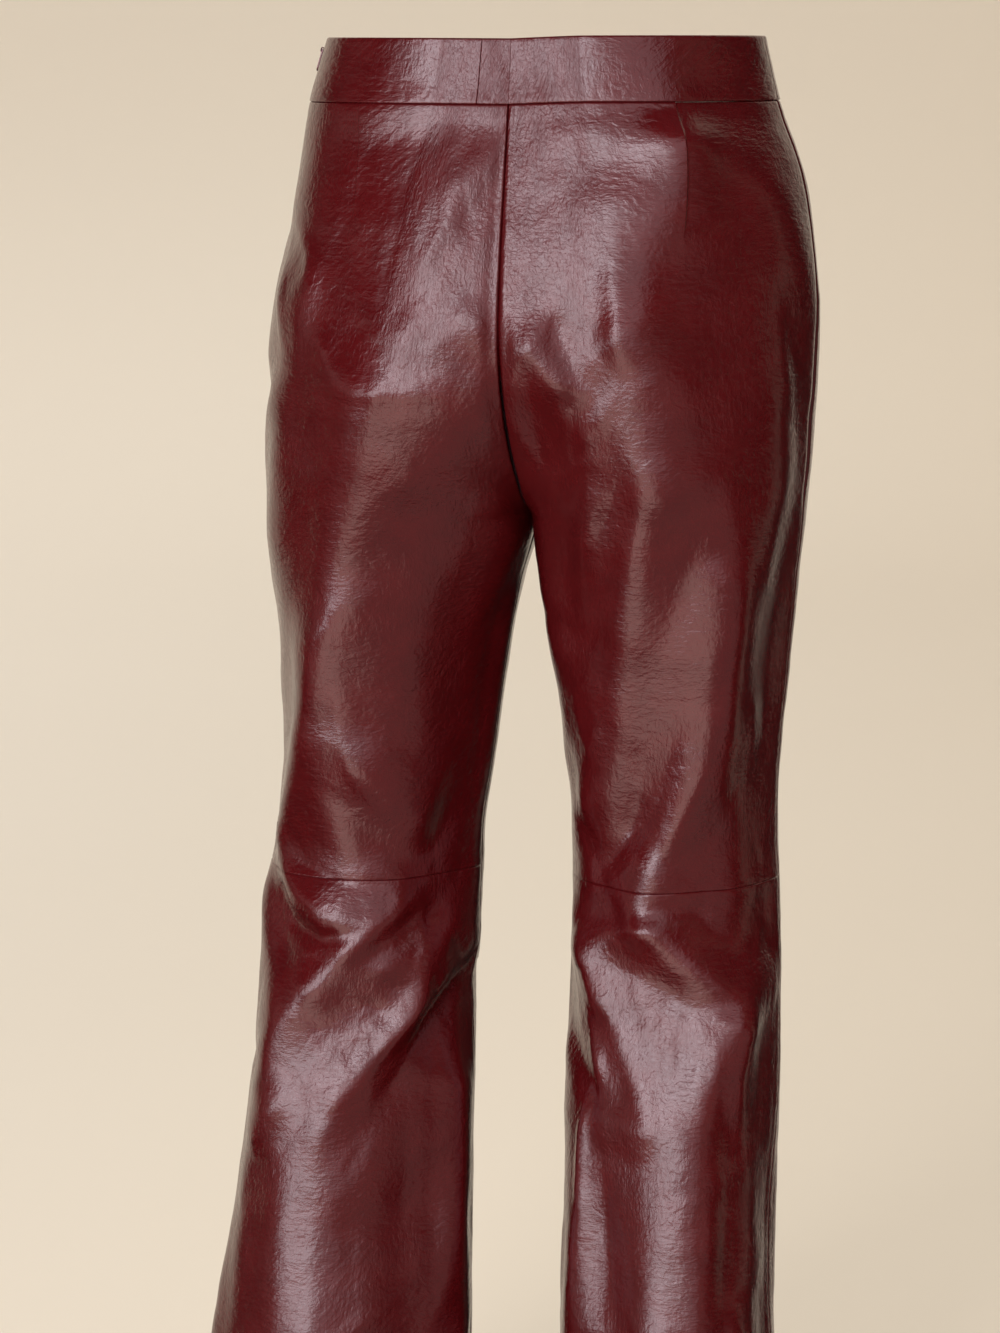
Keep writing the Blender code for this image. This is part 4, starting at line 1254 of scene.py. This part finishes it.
@dataclass
class Waistband:
    """Three strips of doubled cloth: they meet at the zip, at the back join and at the right side."""

    form: TrousersForm
    finishes: Finishes
    proud: float = 0.0007
    wall: float = 0.0024
    join: float = 0.42
    step: float = 0.0030
    pinch: float = 0.0011
    overlap: float = 0.0001
    flat_depth: float = 0.043
    end_allowances: float = 0.02
    end_thinning: float = 0.85
    end_lowering: float = 0.02
    relief: float = 0.8
    near: tuple[float, ...] = (0.0, 0.00012, 0.0004, 0.0008, 0.0013, 0.0022, 0.0040)

    def ring(self) -> tuple[np.ndarray, np.ndarray]:
        """The band's cross-section: heights, and how far out of the cloth's surface, round the strip."""
        radius = self.wall / 2
        middle = self.proud - radius
        low = self.form.band_seam + self.form.seam_gap / 2
        rise = np.arange(0, 1.0001, 1 / 18)
        outer = [(self.proud, low + radius + (-radius - low - radius) * share) for share in rise]
        over = [
            (middle + radius * math.cos(turn), -radius + radius * math.sin(turn))
            for turn in np.linspace(0, math.pi, 9)[1:-1]
        ]
        under = [
            (middle + radius * math.cos(turn), low + radius + radius * math.sin(turn))
            for turn in np.linspace(math.pi, 2 * math.pi, 9)[1:-1]
        ]
        inner = [(self.proud - self.wall, place) for _, place in reversed(outer)]
        loop = outer + over + inner + under
        return np.array([height for _, height in loop]), np.array([out for out, _ in loop])

    def strip(self, name: str, runs: Sequence[tuple[Side, float, float]]) -> None:
        """Build one strip.

        Args:
            name: The CAD node that it replaces.
            runs: The side, and the first and last place around, of each stretch, in order.
        """
        heights, outs = self.ring()
        sides, places = [], []
        near = [offset / QUARTER_ARC for offset in self.near]
        for number, (side, first, last) in enumerate(runs):
            stations = spread(first, last, near, self.step / QUARTER_ARC)
            stations = stations[1:] if number else stations
            sides += [side] * len(stations)
            places += list(stations)
        steps = [abs(b - a) if s == t else 0.0 for a, b, s, t in zip(places, places[1:], sides, sides[1:])]
        lengths = np.concatenate([[0.0], np.cumsum(steps)]) * QUARTER_ARC
        from_end = np.minimum(lengths, lengths[-1] - lengths)
        middle = self.proud - self.wall / 2
        mid_height = self.form.band_seam / 2
        turned = 1 - np.sqrt(1 - np.clip(1 - from_end / self.pinch, 0, 1) ** 2)[:, None]
        out = middle + (outs - middle) * (1 - self.end_thinning * turned)
        height = mid_height + (heights - mid_height) * (1 - self.end_lowering * turned)
        around = np.broadcast_to(np.array(places)[:, None], height.shape)
        by_side = {side: self.form.place(side, around, height, out, self.relief) for side in set(sides)}
        points = np.stack([by_side[side][number] for number, side in enumerate(sides)])
        uv = np.broadcast_arrays(runs[0][1] - lengths[:, None], heights[None, :] + outs * 2)
        uv = np.stack(uv, axis=-1)
        direction = runs[0][0] * math.copysign(1, runs[0][2] - runs[0][1])
        piece = grid_piece(name + "_cloth", points, uv, (self.finishes.band_leather,), direction, ring=True)
        declare(piece, node=name)

    def build(self) -> None:
        """Build the three strips."""
        seam = -self.overlap / QUARTER_ARC
        strips = {
            "waistband_back_left": [(LEFT, SIDE - seam, self.join + seam)],
            "waistband_back_right": [(LEFT, self.join - seam, SEAT_SEAM), (RIGHT, SEAT_SEAM, SIDE - seam)],
            "waistband_front": [(RIGHT, SIDE + seam, FRONT_SEAM), (LEFT, FRONT_SEAM, SIDE + seam)],
        }
        for name, runs in strips.items():
            self.strip(name, runs)


# ------------------------------------------------------- rows of small units
class Unit(Enum):
    """What a row along a path is made of."""

    STITCH = "stitch"
    COIL = "coil"


class Row:
    """Geometry Nodes that set one small unit again and again along a path."""

    SIZES = ("Spacing", "Length", "Width", "Height", "Thread")
    COIL_SLANT = 0.22

    def __init__(self, unit: Unit) -> None:
        """Build the node tree for this unit."""
        self.unit = unit
        self.tree = bpy.data.node_groups.new(f"row_of_{unit.value}", "GeometryNodeTree")
        interface = self.tree.interface
        interface.new_socket("Path", in_out="INPUT", socket_type="NodeSocketGeometry")
        for label in self.SIZES:
            interface.new_socket(label, in_out="INPUT", socket_type="NodeSocketFloat")
        interface.new_socket("Material", in_out="INPUT", socket_type="NodeSocketMaterial")
        interface.new_socket("Row", in_out="OUTPUT", socket_type="NodeSocketGeometry")
        self.wire()

    def wire(self) -> None:
        """Connect the nodes, from the path to the finished row."""
        graph = Graph(self.tree)
        group = graph.add("NodeGroupInput").outputs
        curve = graph.add("GeometryNodeMeshToCurve", {"Mesh": group["Path"]}).outputs[0]
        places = graph.add(
            "GeometryNodeResampleCurve", {"Curve": curve, "Length": group["Spacing"]}, mode="LENGTH"
        )
        outward = graph.add("GeometryNodeInputNamedAttribute", {"Name": "outward"}, data_type="FLOAT_VECTOR")
        stood = graph.add("FunctionNodeAlignRotationToVector", {"Vector": outward.outputs[0]}, axis="Z")
        along = graph.add("GeometryNodeInputTangent").outputs[0]
        turned = graph.add(
            "FunctionNodeAlignRotationToVector",
            {"Rotation": stood.outputs[0], "Vector": along},
            axis="X",
            pivot_axis="Z",
        )
        unit = self.stitch(graph, group) if self.unit is Unit.STITCH else self.coil(graph, group)
        placed = graph.add(
            "GeometryNodeInstanceOnPoints",
            {"Points": places.outputs[0], "Instance": unit, "Rotation": turned.outputs[0]},
        )
        real = graph.add("GeometryNodeRealizeInstances", {"Geometry": placed.outputs[0]})
        smooth = graph.add("GeometryNodeSetShadeSmooth", {"Geometry": real.outputs[0]})
        dressed = graph.add(
            "GeometryNodeSetMaterial", {"Geometry": smooth.outputs[0], "Material": group["Material"]}
        )
        graph.add("NodeGroupOutput", {"Row": dressed.outputs[0]})

    def sized(
        self, graph: Graph, group: bpy.types.NodeOutputs, shape: bpy.types.NodeSocket, slant: float
    ) -> bpy.types.NodeSocket:
        """A shape 1 m across, made as high, wide and long as the inputs say, and laid along the path."""
        size = graph.add("ShaderNodeCombineXYZ", {0: group["Height"], 1: group["Width"], 2: group["Length"]})
        made = graph.add("GeometryNodeTransform", {"Geometry": shape, "Scale": size.outputs[0]}).outputs[0]
        turn = (0.0, math.pi / 2, slant)
        return graph.add("GeometryNodeTransform", {"Geometry": made, "Rotation": turn}).outputs[0]

    def stitch(self, graph: Graph, group: bpy.types.NodeOutputs) -> bpy.types.NodeSocket:
        """One stitch: a plump short thread, pulled down at its ends."""
        bead = graph.add("GeometryNodeMeshUVSphere", {"Segments": 8, "Rings": 6, "Radius": 0.5})
        return self.sized(graph, group, bead.outputs[0], 0.0)

    def coil(self, graph: Graph, group: bpy.types.NodeOutputs) -> bpy.types.NodeSocket:
        """One turn of the coil: a flat slanted loop across the path."""
        loop = graph.add("GeometryNodeCurvePrimitiveCircle", {"Resolution": 14, "Radius": 0.5})
        across = self.sized(graph, group, loop.outputs[0], self.COIL_SLANT)
        thread = graph.add(
            "GeometryNodeCurvePrimitiveCircle", {"Resolution": 6, "Radius": group["Thread"]}
        ).outputs[0]
        return graph.add("GeometryNodeCurveToMesh", {"Curve": across, "Profile Curve": thread}).outputs[0]

    def along(
        self,
        name: str,
        paths: Sequence[tuple[np.ndarray, np.ndarray, bool]],
        sizes: dict[str, float],
        material: bpy.types.Material,
    ) -> bpy.types.Object:
        """Set the units along some paths.

        Args:
            name: The finished piece's name.
            paths: For each path its points, the outward direction at each, and whether it is closed.
            sizes: A value for each of SIZES that the unit needs.
            material: What the units are made of.

        Returns:
            A plain mesh piece, riding on nothing yet.
        """
        points, outward, edges = [], [], []
        for places, away, closed in paths:
            start, count = len(points), len(places)
            edges += [(start + step, start + step + 1) for step in range(count - 1)]
            edges += [(start + count - 1, start)] if closed else []
            points += places.tolist()
            outward += away.tolist()
        mesh = bpy.data.meshes.new(name + "_path")
        mesh.from_pydata(points, edges, [])
        stored = mesh.attributes.new("outward", "FLOAT_VECTOR", "POINT")
        stored.data.foreach_set("vector", np.array(outward).ravel())
        path = link_object(name + "_path", mesh)
        nodes = path.modifiers.new("row", "NODES")
        nodes.node_group = self.tree
        for socket in self.tree.interface.items_tree:
            if socket.in_out == "INPUT" and socket.name in sizes:
                nodes[socket.identifier] = sizes[socket.name]
            if socket.in_out == "INPUT" and socket.name == "Material":
                nodes[socket.identifier] = material
        evaluated = path.evaluated_get(bpy.context.evaluated_depsgraph_get())
        made = bpy.data.meshes.new_from_object(evaluated)
        made.name = name
        bpy.data.objects.remove(path)
        return link_object(name, made)


@dataclass
class Stitching:
    """The hems' topstitching, and the line that holds the waistband's inside edge."""

    form: TrousersForm
    panels: Panels
    band: Waistband
    thread: bpy.types.Material
    row: Row
    hem_above: float = 0.024
    band_above: float = 0.0045
    spacing: float = 0.0032
    length: float = 0.0026
    width: float = 0.00055
    height: float = 0.00042
    step: float = 0.016
    from_join: float = 0.02
    lowest: float = -0.0007
    probe: float = 0.001

    def line(
        self, side: Side, around: np.ndarray, height: float, out: np.ndarray, inside: bool
    ) -> tuple[np.ndarray, np.ndarray]:
        """Points along a sewn line, and the direction that its stitches face.

        Args:
            side: Which half of the garment.
            around: Places round it.
            height: The line's height.
            out: How far off the cloth's surface the line lies.
            inside: Whether the stitches face the wearer.

        Returns:
            The points and the directions.
        """
        places = self.form.place(side, around, height, out)
        beyond = self.form.place(side, around, height, out + self.probe)
        away = (beyond - places) / np.linalg.norm(beyond - places, axis=-1, keepdims=True)
        return places, -away if inside else away

    def build(self) -> None:
        """Sew both hems and the inside of the waistband."""
        sizes = {"Spacing": self.spacing, "Length": self.length, "Width": self.width, "Height": self.height}
        height = self.form.hem + self.hem_above
        hems = []
        for side in Side:
            around = np.arange(SEAT_SEAM, FRONT_SEAM, self.step)
            from_seam = np.abs(((around + 1) % SIDE) - 1) * QUARTER_ARC
            out = self.panels.edge.sink(from_seam) - self.panels.hem_turn(np.array(height))
            hems.append((*self.line(side, around, height, np.maximum(out, self.lowest), False), True))
        declare(self.row.along("hem_stitches", hems, sizes, self.thread))
        around = np.arange(self.from_join, SIDE - self.from_join, self.step)
        inside, height = self.band.proud - self.band.wall, self.form.band_seam + self.band_above
        runs = []
        for side in Side:
            for places in (around, around + SIDE):
                out = np.full(places.shape, inside)
                runs.append((*self.line(side, places, height, out, True), False))
        declare(self.row.along("waistband_inside_stitches", runs, sizes, self.thread))


def outline_at(
    shape: Sequence[tuple[float, float]], turns: np.ndarray, middle: tuple[float, float]
) -> np.ndarray:
    """Where rays from a middle, at these turns, leave a closed outline."""
    corners = np.array(list(shape) + [shape[0]]) - middle
    dense = np.concatenate([np.linspace(a, b, 60, endpoint=False) for a, b in zip(corners, corners[1:])])
    turned, far = np.arctan2(dense[:, 1], dense[:, 0]), np.hypot(dense[:, 0], dense[:, 1])
    reach = np.interp(turns, turned, far, period=2 * math.pi)
    return np.stack([reach * np.cos(turns), reach * np.sin(turns)], axis=-1) + middle


def plate(
    outline: Sequence[Sequence[float]],
    wall: float,
    edge: float,
    hole: Optional[Sequence[Sequence[float]]] = None,
) -> bmesh.types.BMesh:
    """A flat plate in the YZ plane, with rounded edges.

    Args:
        outline: Y and Z of its corners, in order.
        wall: Its thickness along X.
        edge: How much of each edge is rounded.
        hole: As many corners as the outline's, each facing one of them, or None.

    Returns:
        The plate, to go on with or to put in a mesh.
    """
    made = bmesh.new()
    shapes = [outline] if hole is None else [outline, hole]
    levels = (-wall / 2, wall / 2)
    loops = [[[made.verts.new((x, y, z)) for y, z in shape] for x in levels] for shape in shapes]
    for back, front in loops:
        for here in range(len(back)):
            made.faces.new((back[here - 1], back[here], front[here], front[here - 1]))
    for level in (0, 1):
        outer = loops[0][level]
        if hole is None:
            made.faces.new(outer)
            continue
        inner = loops[1][level]
        for here in range(len(outer)):
            made.faces.new((outer[here - 1], outer[here], inner[here], inner[here - 1]))
    bmesh.ops.recalc_face_normals(made, faces=made.faces)
    sharp = [line for line in made.edges if line.calc_face_angle(0.0) > 0.7]
    bmesh.ops.bevel(
        made, geom=sharp, offset=edge, segments=3, profile=0.5, affect="EDGES", clamp_overlap=True
    )
    bmesh.ops.recalc_face_normals(made, faces=made.faces)
    return made


@dataclass
class HiddenZip:
    """The hidden zip in the left side seam: woven tape, coil, slider with its bail, and pull."""

    form: TrousersForm
    finishes: Finishes
    row: Row
    band_proud: float = 0.0007
    top: float = -0.003
    end: float = -0.200
    tape_width: float = 0.028
    tape_depth: float = 0.0028
    tape_wall: float = 0.0010
    weave_wall: float = 0.0005
    slider_height: float = -0.0090
    slider_size: tuple[float, float, float] = (0.0018, 0.0048, 0.0076)
    bail_wire: tuple[float, float] = (0.00045, 0.0006)
    bail_half: float = 0.00135
    pull_bar: float = 0.0005
    clearance: float = 0.0004
    pull_slot: tuple[float, float] = (0.0020, 0.0030)
    pull_length: float = 0.0150
    pull_widths: tuple[float, float] = (0.0036, 0.0052)
    pull_wall: float = 0.0010
    edge: float = 0.00022
    coil_pitch: float = 0.0011
    coil_size: tuple[float, float] = (0.0040, 0.0013)
    coil_thread: float = 0.00027
    selvedge: tuple[float, float] = (0.0009, 0.0006)
    cord: tuple[float, float, float] = (0.8, 0.0030, 0.0005)

    def spot(self) -> Matrix:
        """Where the pull hangs: its bar's middle, with local X out from the cloth and Z up along it."""
        heights = np.array([0.0, self.form.band_seam, self.slider_height])
        above, below, here = self.form.place(LEFT, SIDE, heights, self.band_proud, 0.0)
        lean = math.atan2(below[0] - above[0], above[2] - below[2])
        stand = self.form.seam_gap + self.slider_size[0] + self.clearance + self.pull_bar
        return Matrix.Translation(here) @ Matrix.Rotation(-lean, 4, "Y") @ Matrix.Translation((stand, 0, 0))

    def tape(self) -> None:
        """The woven tape, with thicker cords at its selvedges and beside the coil."""
        half = self.tape_width / 2
        across = np.linspace(-half, half, 41)
        inset, reach = self.selvedge
        cord = np.exp(-(((np.abs(across) - half + inset) / reach) ** 2))
        share, middle, reach = self.cord
        cord = cord + share * np.exp(-(((np.abs(across) - middle) / reach) ** 2))
        wall = self.weave_wall + (self.tape_wall - self.weave_wall) * np.clip(cord, 0, 1)
        wall[[0, -1]] *= 0.4
        middle = -self.tape_depth - self.tape_wall / 2
        loop_across = np.concatenate([across, across[::-1]])
        loop_out = np.concatenate([middle + wall / 2, (middle - wall / 2)[::-1]])
        heights = np.linspace(self.top, self.end, 80)
        around, height = np.meshgrid(SIDE + loop_across / QUARTER_ARC, heights)
        out = np.broadcast_to(loop_out, around.shape)
        points = self.form.place(LEFT, around, height, out, 0.0)
        piece = grid_piece("zip_woven_tape", points, None, (self.finishes.tape,), 1, ring=True)
        declare(piece, node="zip_tape")

    def coil(self) -> None:
        """The closed coil, along the inner face of the tape."""
        width, height = self.coil_size
        heights = np.linspace(self.slider_height - 0.005, self.end + 0.003, 90)
        out = -self.tape_depth - self.tape_wall - height / 2 + 0.0002
        places = self.form.place(LEFT, SIDE, heights, out, 0.0)
        beyond = self.form.place(LEFT, SIDE, heights, out + 0.001, 0.0)
        away = (beyond - places) * 1000
        sizes = {
            "Spacing": self.coil_pitch,
            "Length": 1.0,
            "Width": width,
            "Height": height,
            "Thread": self.coil_thread,
        }
        piece = self.row.along("zip_coil", [(places, away, False)], sizes, self.finishes.coil)
        declare(piece)

    def slider(self) -> None:
        """The slider: a body with a waist, and the bail that the pull hangs from."""
        deep, wide, tall = self.slider_size
        turns = np.linspace(0, 2 * math.pi, 48, endpoint=False)
        bulge = 1 - 0.10 * np.exp(-((np.sin(turns) / 0.35) ** 2))
        square = (np.abs(np.cos(turns)) ** 4 + np.abs(np.sin(turns)) ** 4) ** -0.25
        across, up = wide / 2 * np.cos(turns) * square * bulge, tall / 2 * np.sin(turns) * square
        body = plate(np.stack([across, up], axis=-1), deep, self.edge * 1.5)
        back = -(self.pull_bar + self.clearance + deep / 2)
        bmesh.ops.translate(body, verts=body.verts, vec=(back, 0, 0))
        self.bail(body)
        self.place_part("zip_slider_body", body, "zip_slider", BODY)

    def bail(self, body: bmesh.types.BMesh) -> None:
        """Add the bail to the slider's body: a rounded loop of wire in the XZ plane."""
        thick, broad = self.bail_wire
        turns = np.linspace(0, 2 * math.pi, 32, endpoint=False)
        square = (np.abs(np.cos(turns)) ** 5 + np.abs(np.sin(turns)) ** 5) ** -0.2
        rings = []
        for turn, reach in zip(turns, square):
            away = Vector((math.cos(turn), 0, math.sin(turn)))
            middle = away * self.bail_half * reach
            ring = []
            for step in np.linspace(0, 2 * math.pi, 10, endpoint=False):
                point = middle + away * thick * math.cos(step) + Vector((0, broad * math.sin(step), 0))
                ring.append(body.verts.new(point))
            rings.append(ring)
        faces = []
        for here, ring in enumerate(rings):
            before = rings[here - 1]
            for step in range(len(ring)):
                faces.append(body.faces.new((before[step - 1], before[step], ring[step], ring[step - 1])))
        bmesh.ops.recalc_face_normals(body, faces=faces)

    def pull(self) -> None:
        """The pull: a flat drop with a slot at its top, for the bail."""
        top, low = (width / 2 for width in self.pull_widths)
        end = self.pull_bar + low - self.pull_length
        turns = np.linspace(0, math.pi, 13)
        drop = [(-top, self.pull_bar), (top, self.pull_bar)]
        drop += [(low * math.cos(turn), end - low * math.sin(turn)) for turn in turns]
        half, foot = self.pull_slot[0] / 2, -self.pull_slot[1]
        middle = (0.0, (foot - self.pull_bar) / 2)
        corners = np.array(drop + drop[:1])
        length = np.concatenate([[0], np.cumsum(np.hypot(*np.diff(corners, axis=0).T))])
        even = np.linspace(0, length[-1], 72, endpoint=False)
        outline = np.stack([np.interp(even, length, corners[:, axis]) for axis in (0, 1)], axis=-1)
        turns = np.arctan2(outline[:, 1] - middle[1], outline[:, 0] - middle[0])
        slot = [(-half, -self.pull_bar), (half, -self.pull_bar), (half, foot), (-half, foot)]
        made = plate(outline, self.pull_wall, self.edge, outline_at(slot, turns, middle))
        self.place_part("zip_pull_drop", made, "zip_pull", PULL_BODY)

    def place_part(self, name: str, made: bmesh.types.BMesh, node: str, body: str) -> None:
        """Put a part of the slider in place, in enamel.

        Args:
            name: The piece's name.
            made: Its shape, in the zip's own frame. It is freed.
            node: The CAD node that it replaces.
            body: What it rides on.
        """
        made.transform(self.spot())
        mesh = bpy.data.meshes.new(name)
        made.to_mesh(mesh)
        made.free()
        mesh.materials.append(self.finishes.enamel)
        mesh.shade_smooth()
        mesh.set_sharp_from_angle(angle=math.radians(50))
        declare(link_object(name, mesh), body, node)

    def build(self) -> None:
        """Build every part of the zip."""
        self.tape()
        self.coil()
        self.slider()
        self.pull()


# ------------------------------------------------------------------ the studio
class Softbox(NamedTuple):
    """One soft light: where it stands and points, its width, height, power and spread."""

    name: str
    place: tuple[float, float, float]
    target: tuple[float, float, float]
    width: float
    height: float
    power: float
    spread: float
    colour: tuple[float, float, float]


SOFTBOXES = (
    Softbox("key", (0.5, 3.3, 0.5), (0.0, 0.0, -0.45), 1.2, 1.2, 14.5, 60.0, (1.0, 0.97, 0.95)),
    Softbox("backdrop", (5.2, -3.4, 1.6), (3.6, -7.6, 0.0), 2.4, 2.4, 26.0, 180.0, (1.0, 0.98, 0.93)),
)


class Glow(NamedTuple):
    """A pale area of the studio that the gloss reflects.

    turn is its middle in degrees from +Y towards +X, half its half width, low and
    high its elevations, and lean how far it moves over for each degree up.
    """

    turn: float
    half: float
    fade: float
    low: float
    high: float
    end_fade: float
    lean: float
    colour: Colour


GLOWS = (
    Glow(158.0, 43.0, 26.0, -15.0, 50.0, 6.0, -0.80, (0.62, 0.52, 0.41, 1.0)),
    Glow(-108.0, 6.0, 15.0, -24.0, 52.0, 8.0, -1.25, (0.38, 0.32, 0.25, 1.0)),
    Glow(10.0, 80.0, 34.0, -90.0, 8.0, 10.0, -0.73, (0.44, 0.31, 0.29, 1.0)),
    Glow(12.0, 45.0, 30.0, -6.0, 46.0, 9.0, 0.47, (1.34, 1.08, 1.13, 1.0)),
    Glow(25.0, 22.0, 26.0, -2.0, 9.0, 13.0, 1.10, (5.60, 5.20, 5.50, 1.0)),
    Glow(36.0, 5.0, 26.0, 18.0, 24.0, 9.0, 0.87, (12.5, 11.8, 12.7, 1.0)),
    Glow(9.0, 24.0, 30.0, -44.0, -16.0, 5.0, 0.15, (2.25, 1.68, 1.52, 1.0)),
)


@dataclass
class Studio:
    """A pale sweep, soft lights, the surroundings that the gloss reflects, and the camera."""

    floor_height: float = -1.0615
    floor_radius: float = 8.0
    curve_radius: float = 2.5
    wall_top: float = 5.0
    # Painted light and shade on the sweep: lighter at the left, darker to the right, and darker up the wall,
    # where the lamps light it less.
    sweep_painted_light_left: Colour = (0.87, 0.80, 0.70, 1.0)
    sweep_painted_shade_right: Colour = (0.76, 0.67, 0.55, 1.0)
    sweep_painted_shade_high: Colour = (0.66, 0.58, 0.48, 1.0)
    fill: Colour = (1.0, 0.99, 0.97, 1.0)
    surroundings: Colour = (0.015, 0.013, 0.012, 1.0)
    lens: float = 147.0
    eye: tuple[float, float, float] = (-0.7214, 3.5271, 0.10)
    aim: tuple[float, float, float] = (0.0271, 0.0058, -0.42)

    def sweep(self) -> None:
        """The round pale floor that curves up into a wall. Its colour has painted light and shade: lighter at
        the left, darker to the right and darker higher up the wall.
        """
        profile = [(radius, 0.0) for radius in (0.0, 0.5, 1.0, 2.0, 3.5, 5.0)]
        for turn in np.linspace(0, math.pi / 2, 10):
            across = self.floor_radius - self.curve_radius + self.curve_radius * math.sin(turn)
            profile.append((across, self.curve_radius * (1 - math.cos(turn))))
        profile.append((self.floor_radius, self.wall_top))
        turns = np.linspace(0, 2 * math.pi, 97)
        far, up = np.array(profile).T
        rings = np.broadcast_arrays(
            far * np.cos(turns)[:, None], far * np.sin(turns)[:, None], up + self.floor_height
        )
        points = np.stack(rings, axis=-1)
        made = Surface("sweep", Roughness=0.9, Specular_IOR_Level=0.1)
        graph, place = made.graph, made.on_object()
        across, _, up = graph.add("ShaderNodeSeparateXYZ", {0: place}).outputs
        # Painted light: X across the sweep, plus a little noise, makes it lighter at the left and darker to
        # the right, as the backdrop lamp falls off.
        uneven = graph.math("MULTIPLY_ADD", graph.noise(place, 0.4), 0.6, across)
        painted_light_tint = graph.blend(graph.ramp(uneven, -0.2, 2.4), self.sweep_painted_shade_right, self.sweep_painted_light_left)
        # Painted shade: the sweep's colour darkens as it rises up the wall.
        wall = graph.math("MULTIPLY", graph.ramp(up, -1.05, -0.1), 0.5)
        made.feed("Base Color", graph.blend(wall, painted_light_tint, self.sweep_painted_shade_high))
        floor = grid_piece("studio_sweep", points, None, (made.material,), 1)
        floor.visible_glossy = False

    def world(self) -> None:
        """An even fill, and for the gloss a dark studio with pale glows in it."""
        world = bpy.data.worlds.new("studio")
        bpy.context.scene.world = world
        world.use_nodes = True
        graph = Graph(world.node_tree)
        way = graph.add("ShaderNodeSeparateXYZ", {0: graph.add("ShaderNodeTexCoord").outputs["Generated"]})
        turn = graph.math("DEGREES", graph.math("ARCTAN2", way.outputs[0], way.outputs[1]))
        rise = graph.math("DEGREES", graph.math("ARCSINE", way.outputs[2]))
        seen: object = self.surroundings
        for glow in GLOWS:
            leaned = graph.math("MULTIPLY_ADD", rise, glow.lean, turn)
            off = graph.math("WRAP", graph.math("SUBTRACT", leaned, glow.turn), 180.0, -180.0)
            off, fade = graph.math("ABSOLUTE", off), glow.fade / 2
            sides = graph.ramp(off, glow.half + fade, glow.half - fade)
            foot = graph.ramp(rise, glow.low - glow.end_fade, glow.low)
            head = graph.ramp(rise, glow.high + glow.end_fade, glow.high)
            share = graph.math("MULTIPLY", sides, graph.math("MULTIPLY", foot, head))
            seen = graph.blend(share, seen, glow.colour)
        gloss = graph.add("ShaderNodeLightPath").outputs["Is Glossy Ray"]
        light = graph.blend(gloss, self.fill, seen)
        back = graph.add("ShaderNodeBackground", {"Color": light})
        graph.add("ShaderNodeOutputWorld", {"Surface": back.outputs[0]})

    @staticmethod
    def aimed(
        name: str, data: bpy.types.ID, place: tuple[float, float, float], target: tuple[float, float, float]
    ) -> bpy.types.Object:
        """A light or camera at a place, turned to a target."""
        made = link_object(name, data)
        made.location = place
        made.rotation_euler = (Vector(target) - Vector(place)).to_track_quat("-Z", "Y").to_euler()
        return made

    def lights(self) -> None:
        """The softboxes."""
        for box in SOFTBOXES:
            lamp = bpy.data.lights.new(box.name, "AREA")
            lamp.shape = "RECTANGLE"
            lamp.size, lamp.size_y = box.width, box.height
            lamp.energy = box.power
            lamp.spread = math.radians(box.spread)
            lamp.color = box.colour
            made = self.aimed(box.name, lamp, box.place, box.target)
            made.visible_camera = made.visible_glossy = False

    def camera(self) -> None:
        """The camera: level with a point above the waist, a little to the wearer's right."""
        lens = bpy.data.cameras.new("camera")
        lens.lens = self.lens
        lens.sensor_width = 36.0
        bpy.context.scene.camera = self.aimed("camera", lens, self.eye, self.aim)
        bpy.context.scene.view_settings.view_transform = "Standard"

    def build(self) -> None:
        """Set up the studio."""
        self.sweep()
        self.world()
        self.lights()
        self.camera()


def main() -> None:
    """Build the trousers and the studio."""
    logging.basicConfig(level=logging.INFO, format="%(name)s %(message)s")
    form = TrousersForm()
    finishes = Finishes()
    Studio().build()
    band = Waistband(form, finishes)
    band.build()
    panels = Panels(form, finishes)
    panels.build()
    Stitching(form, panels, band, finishes.thread, Row(Unit.STITCH)).build()
    HiddenZip(form, finishes, Row(Unit.COIL)).build()


if __name__ == "__main__":
    main()
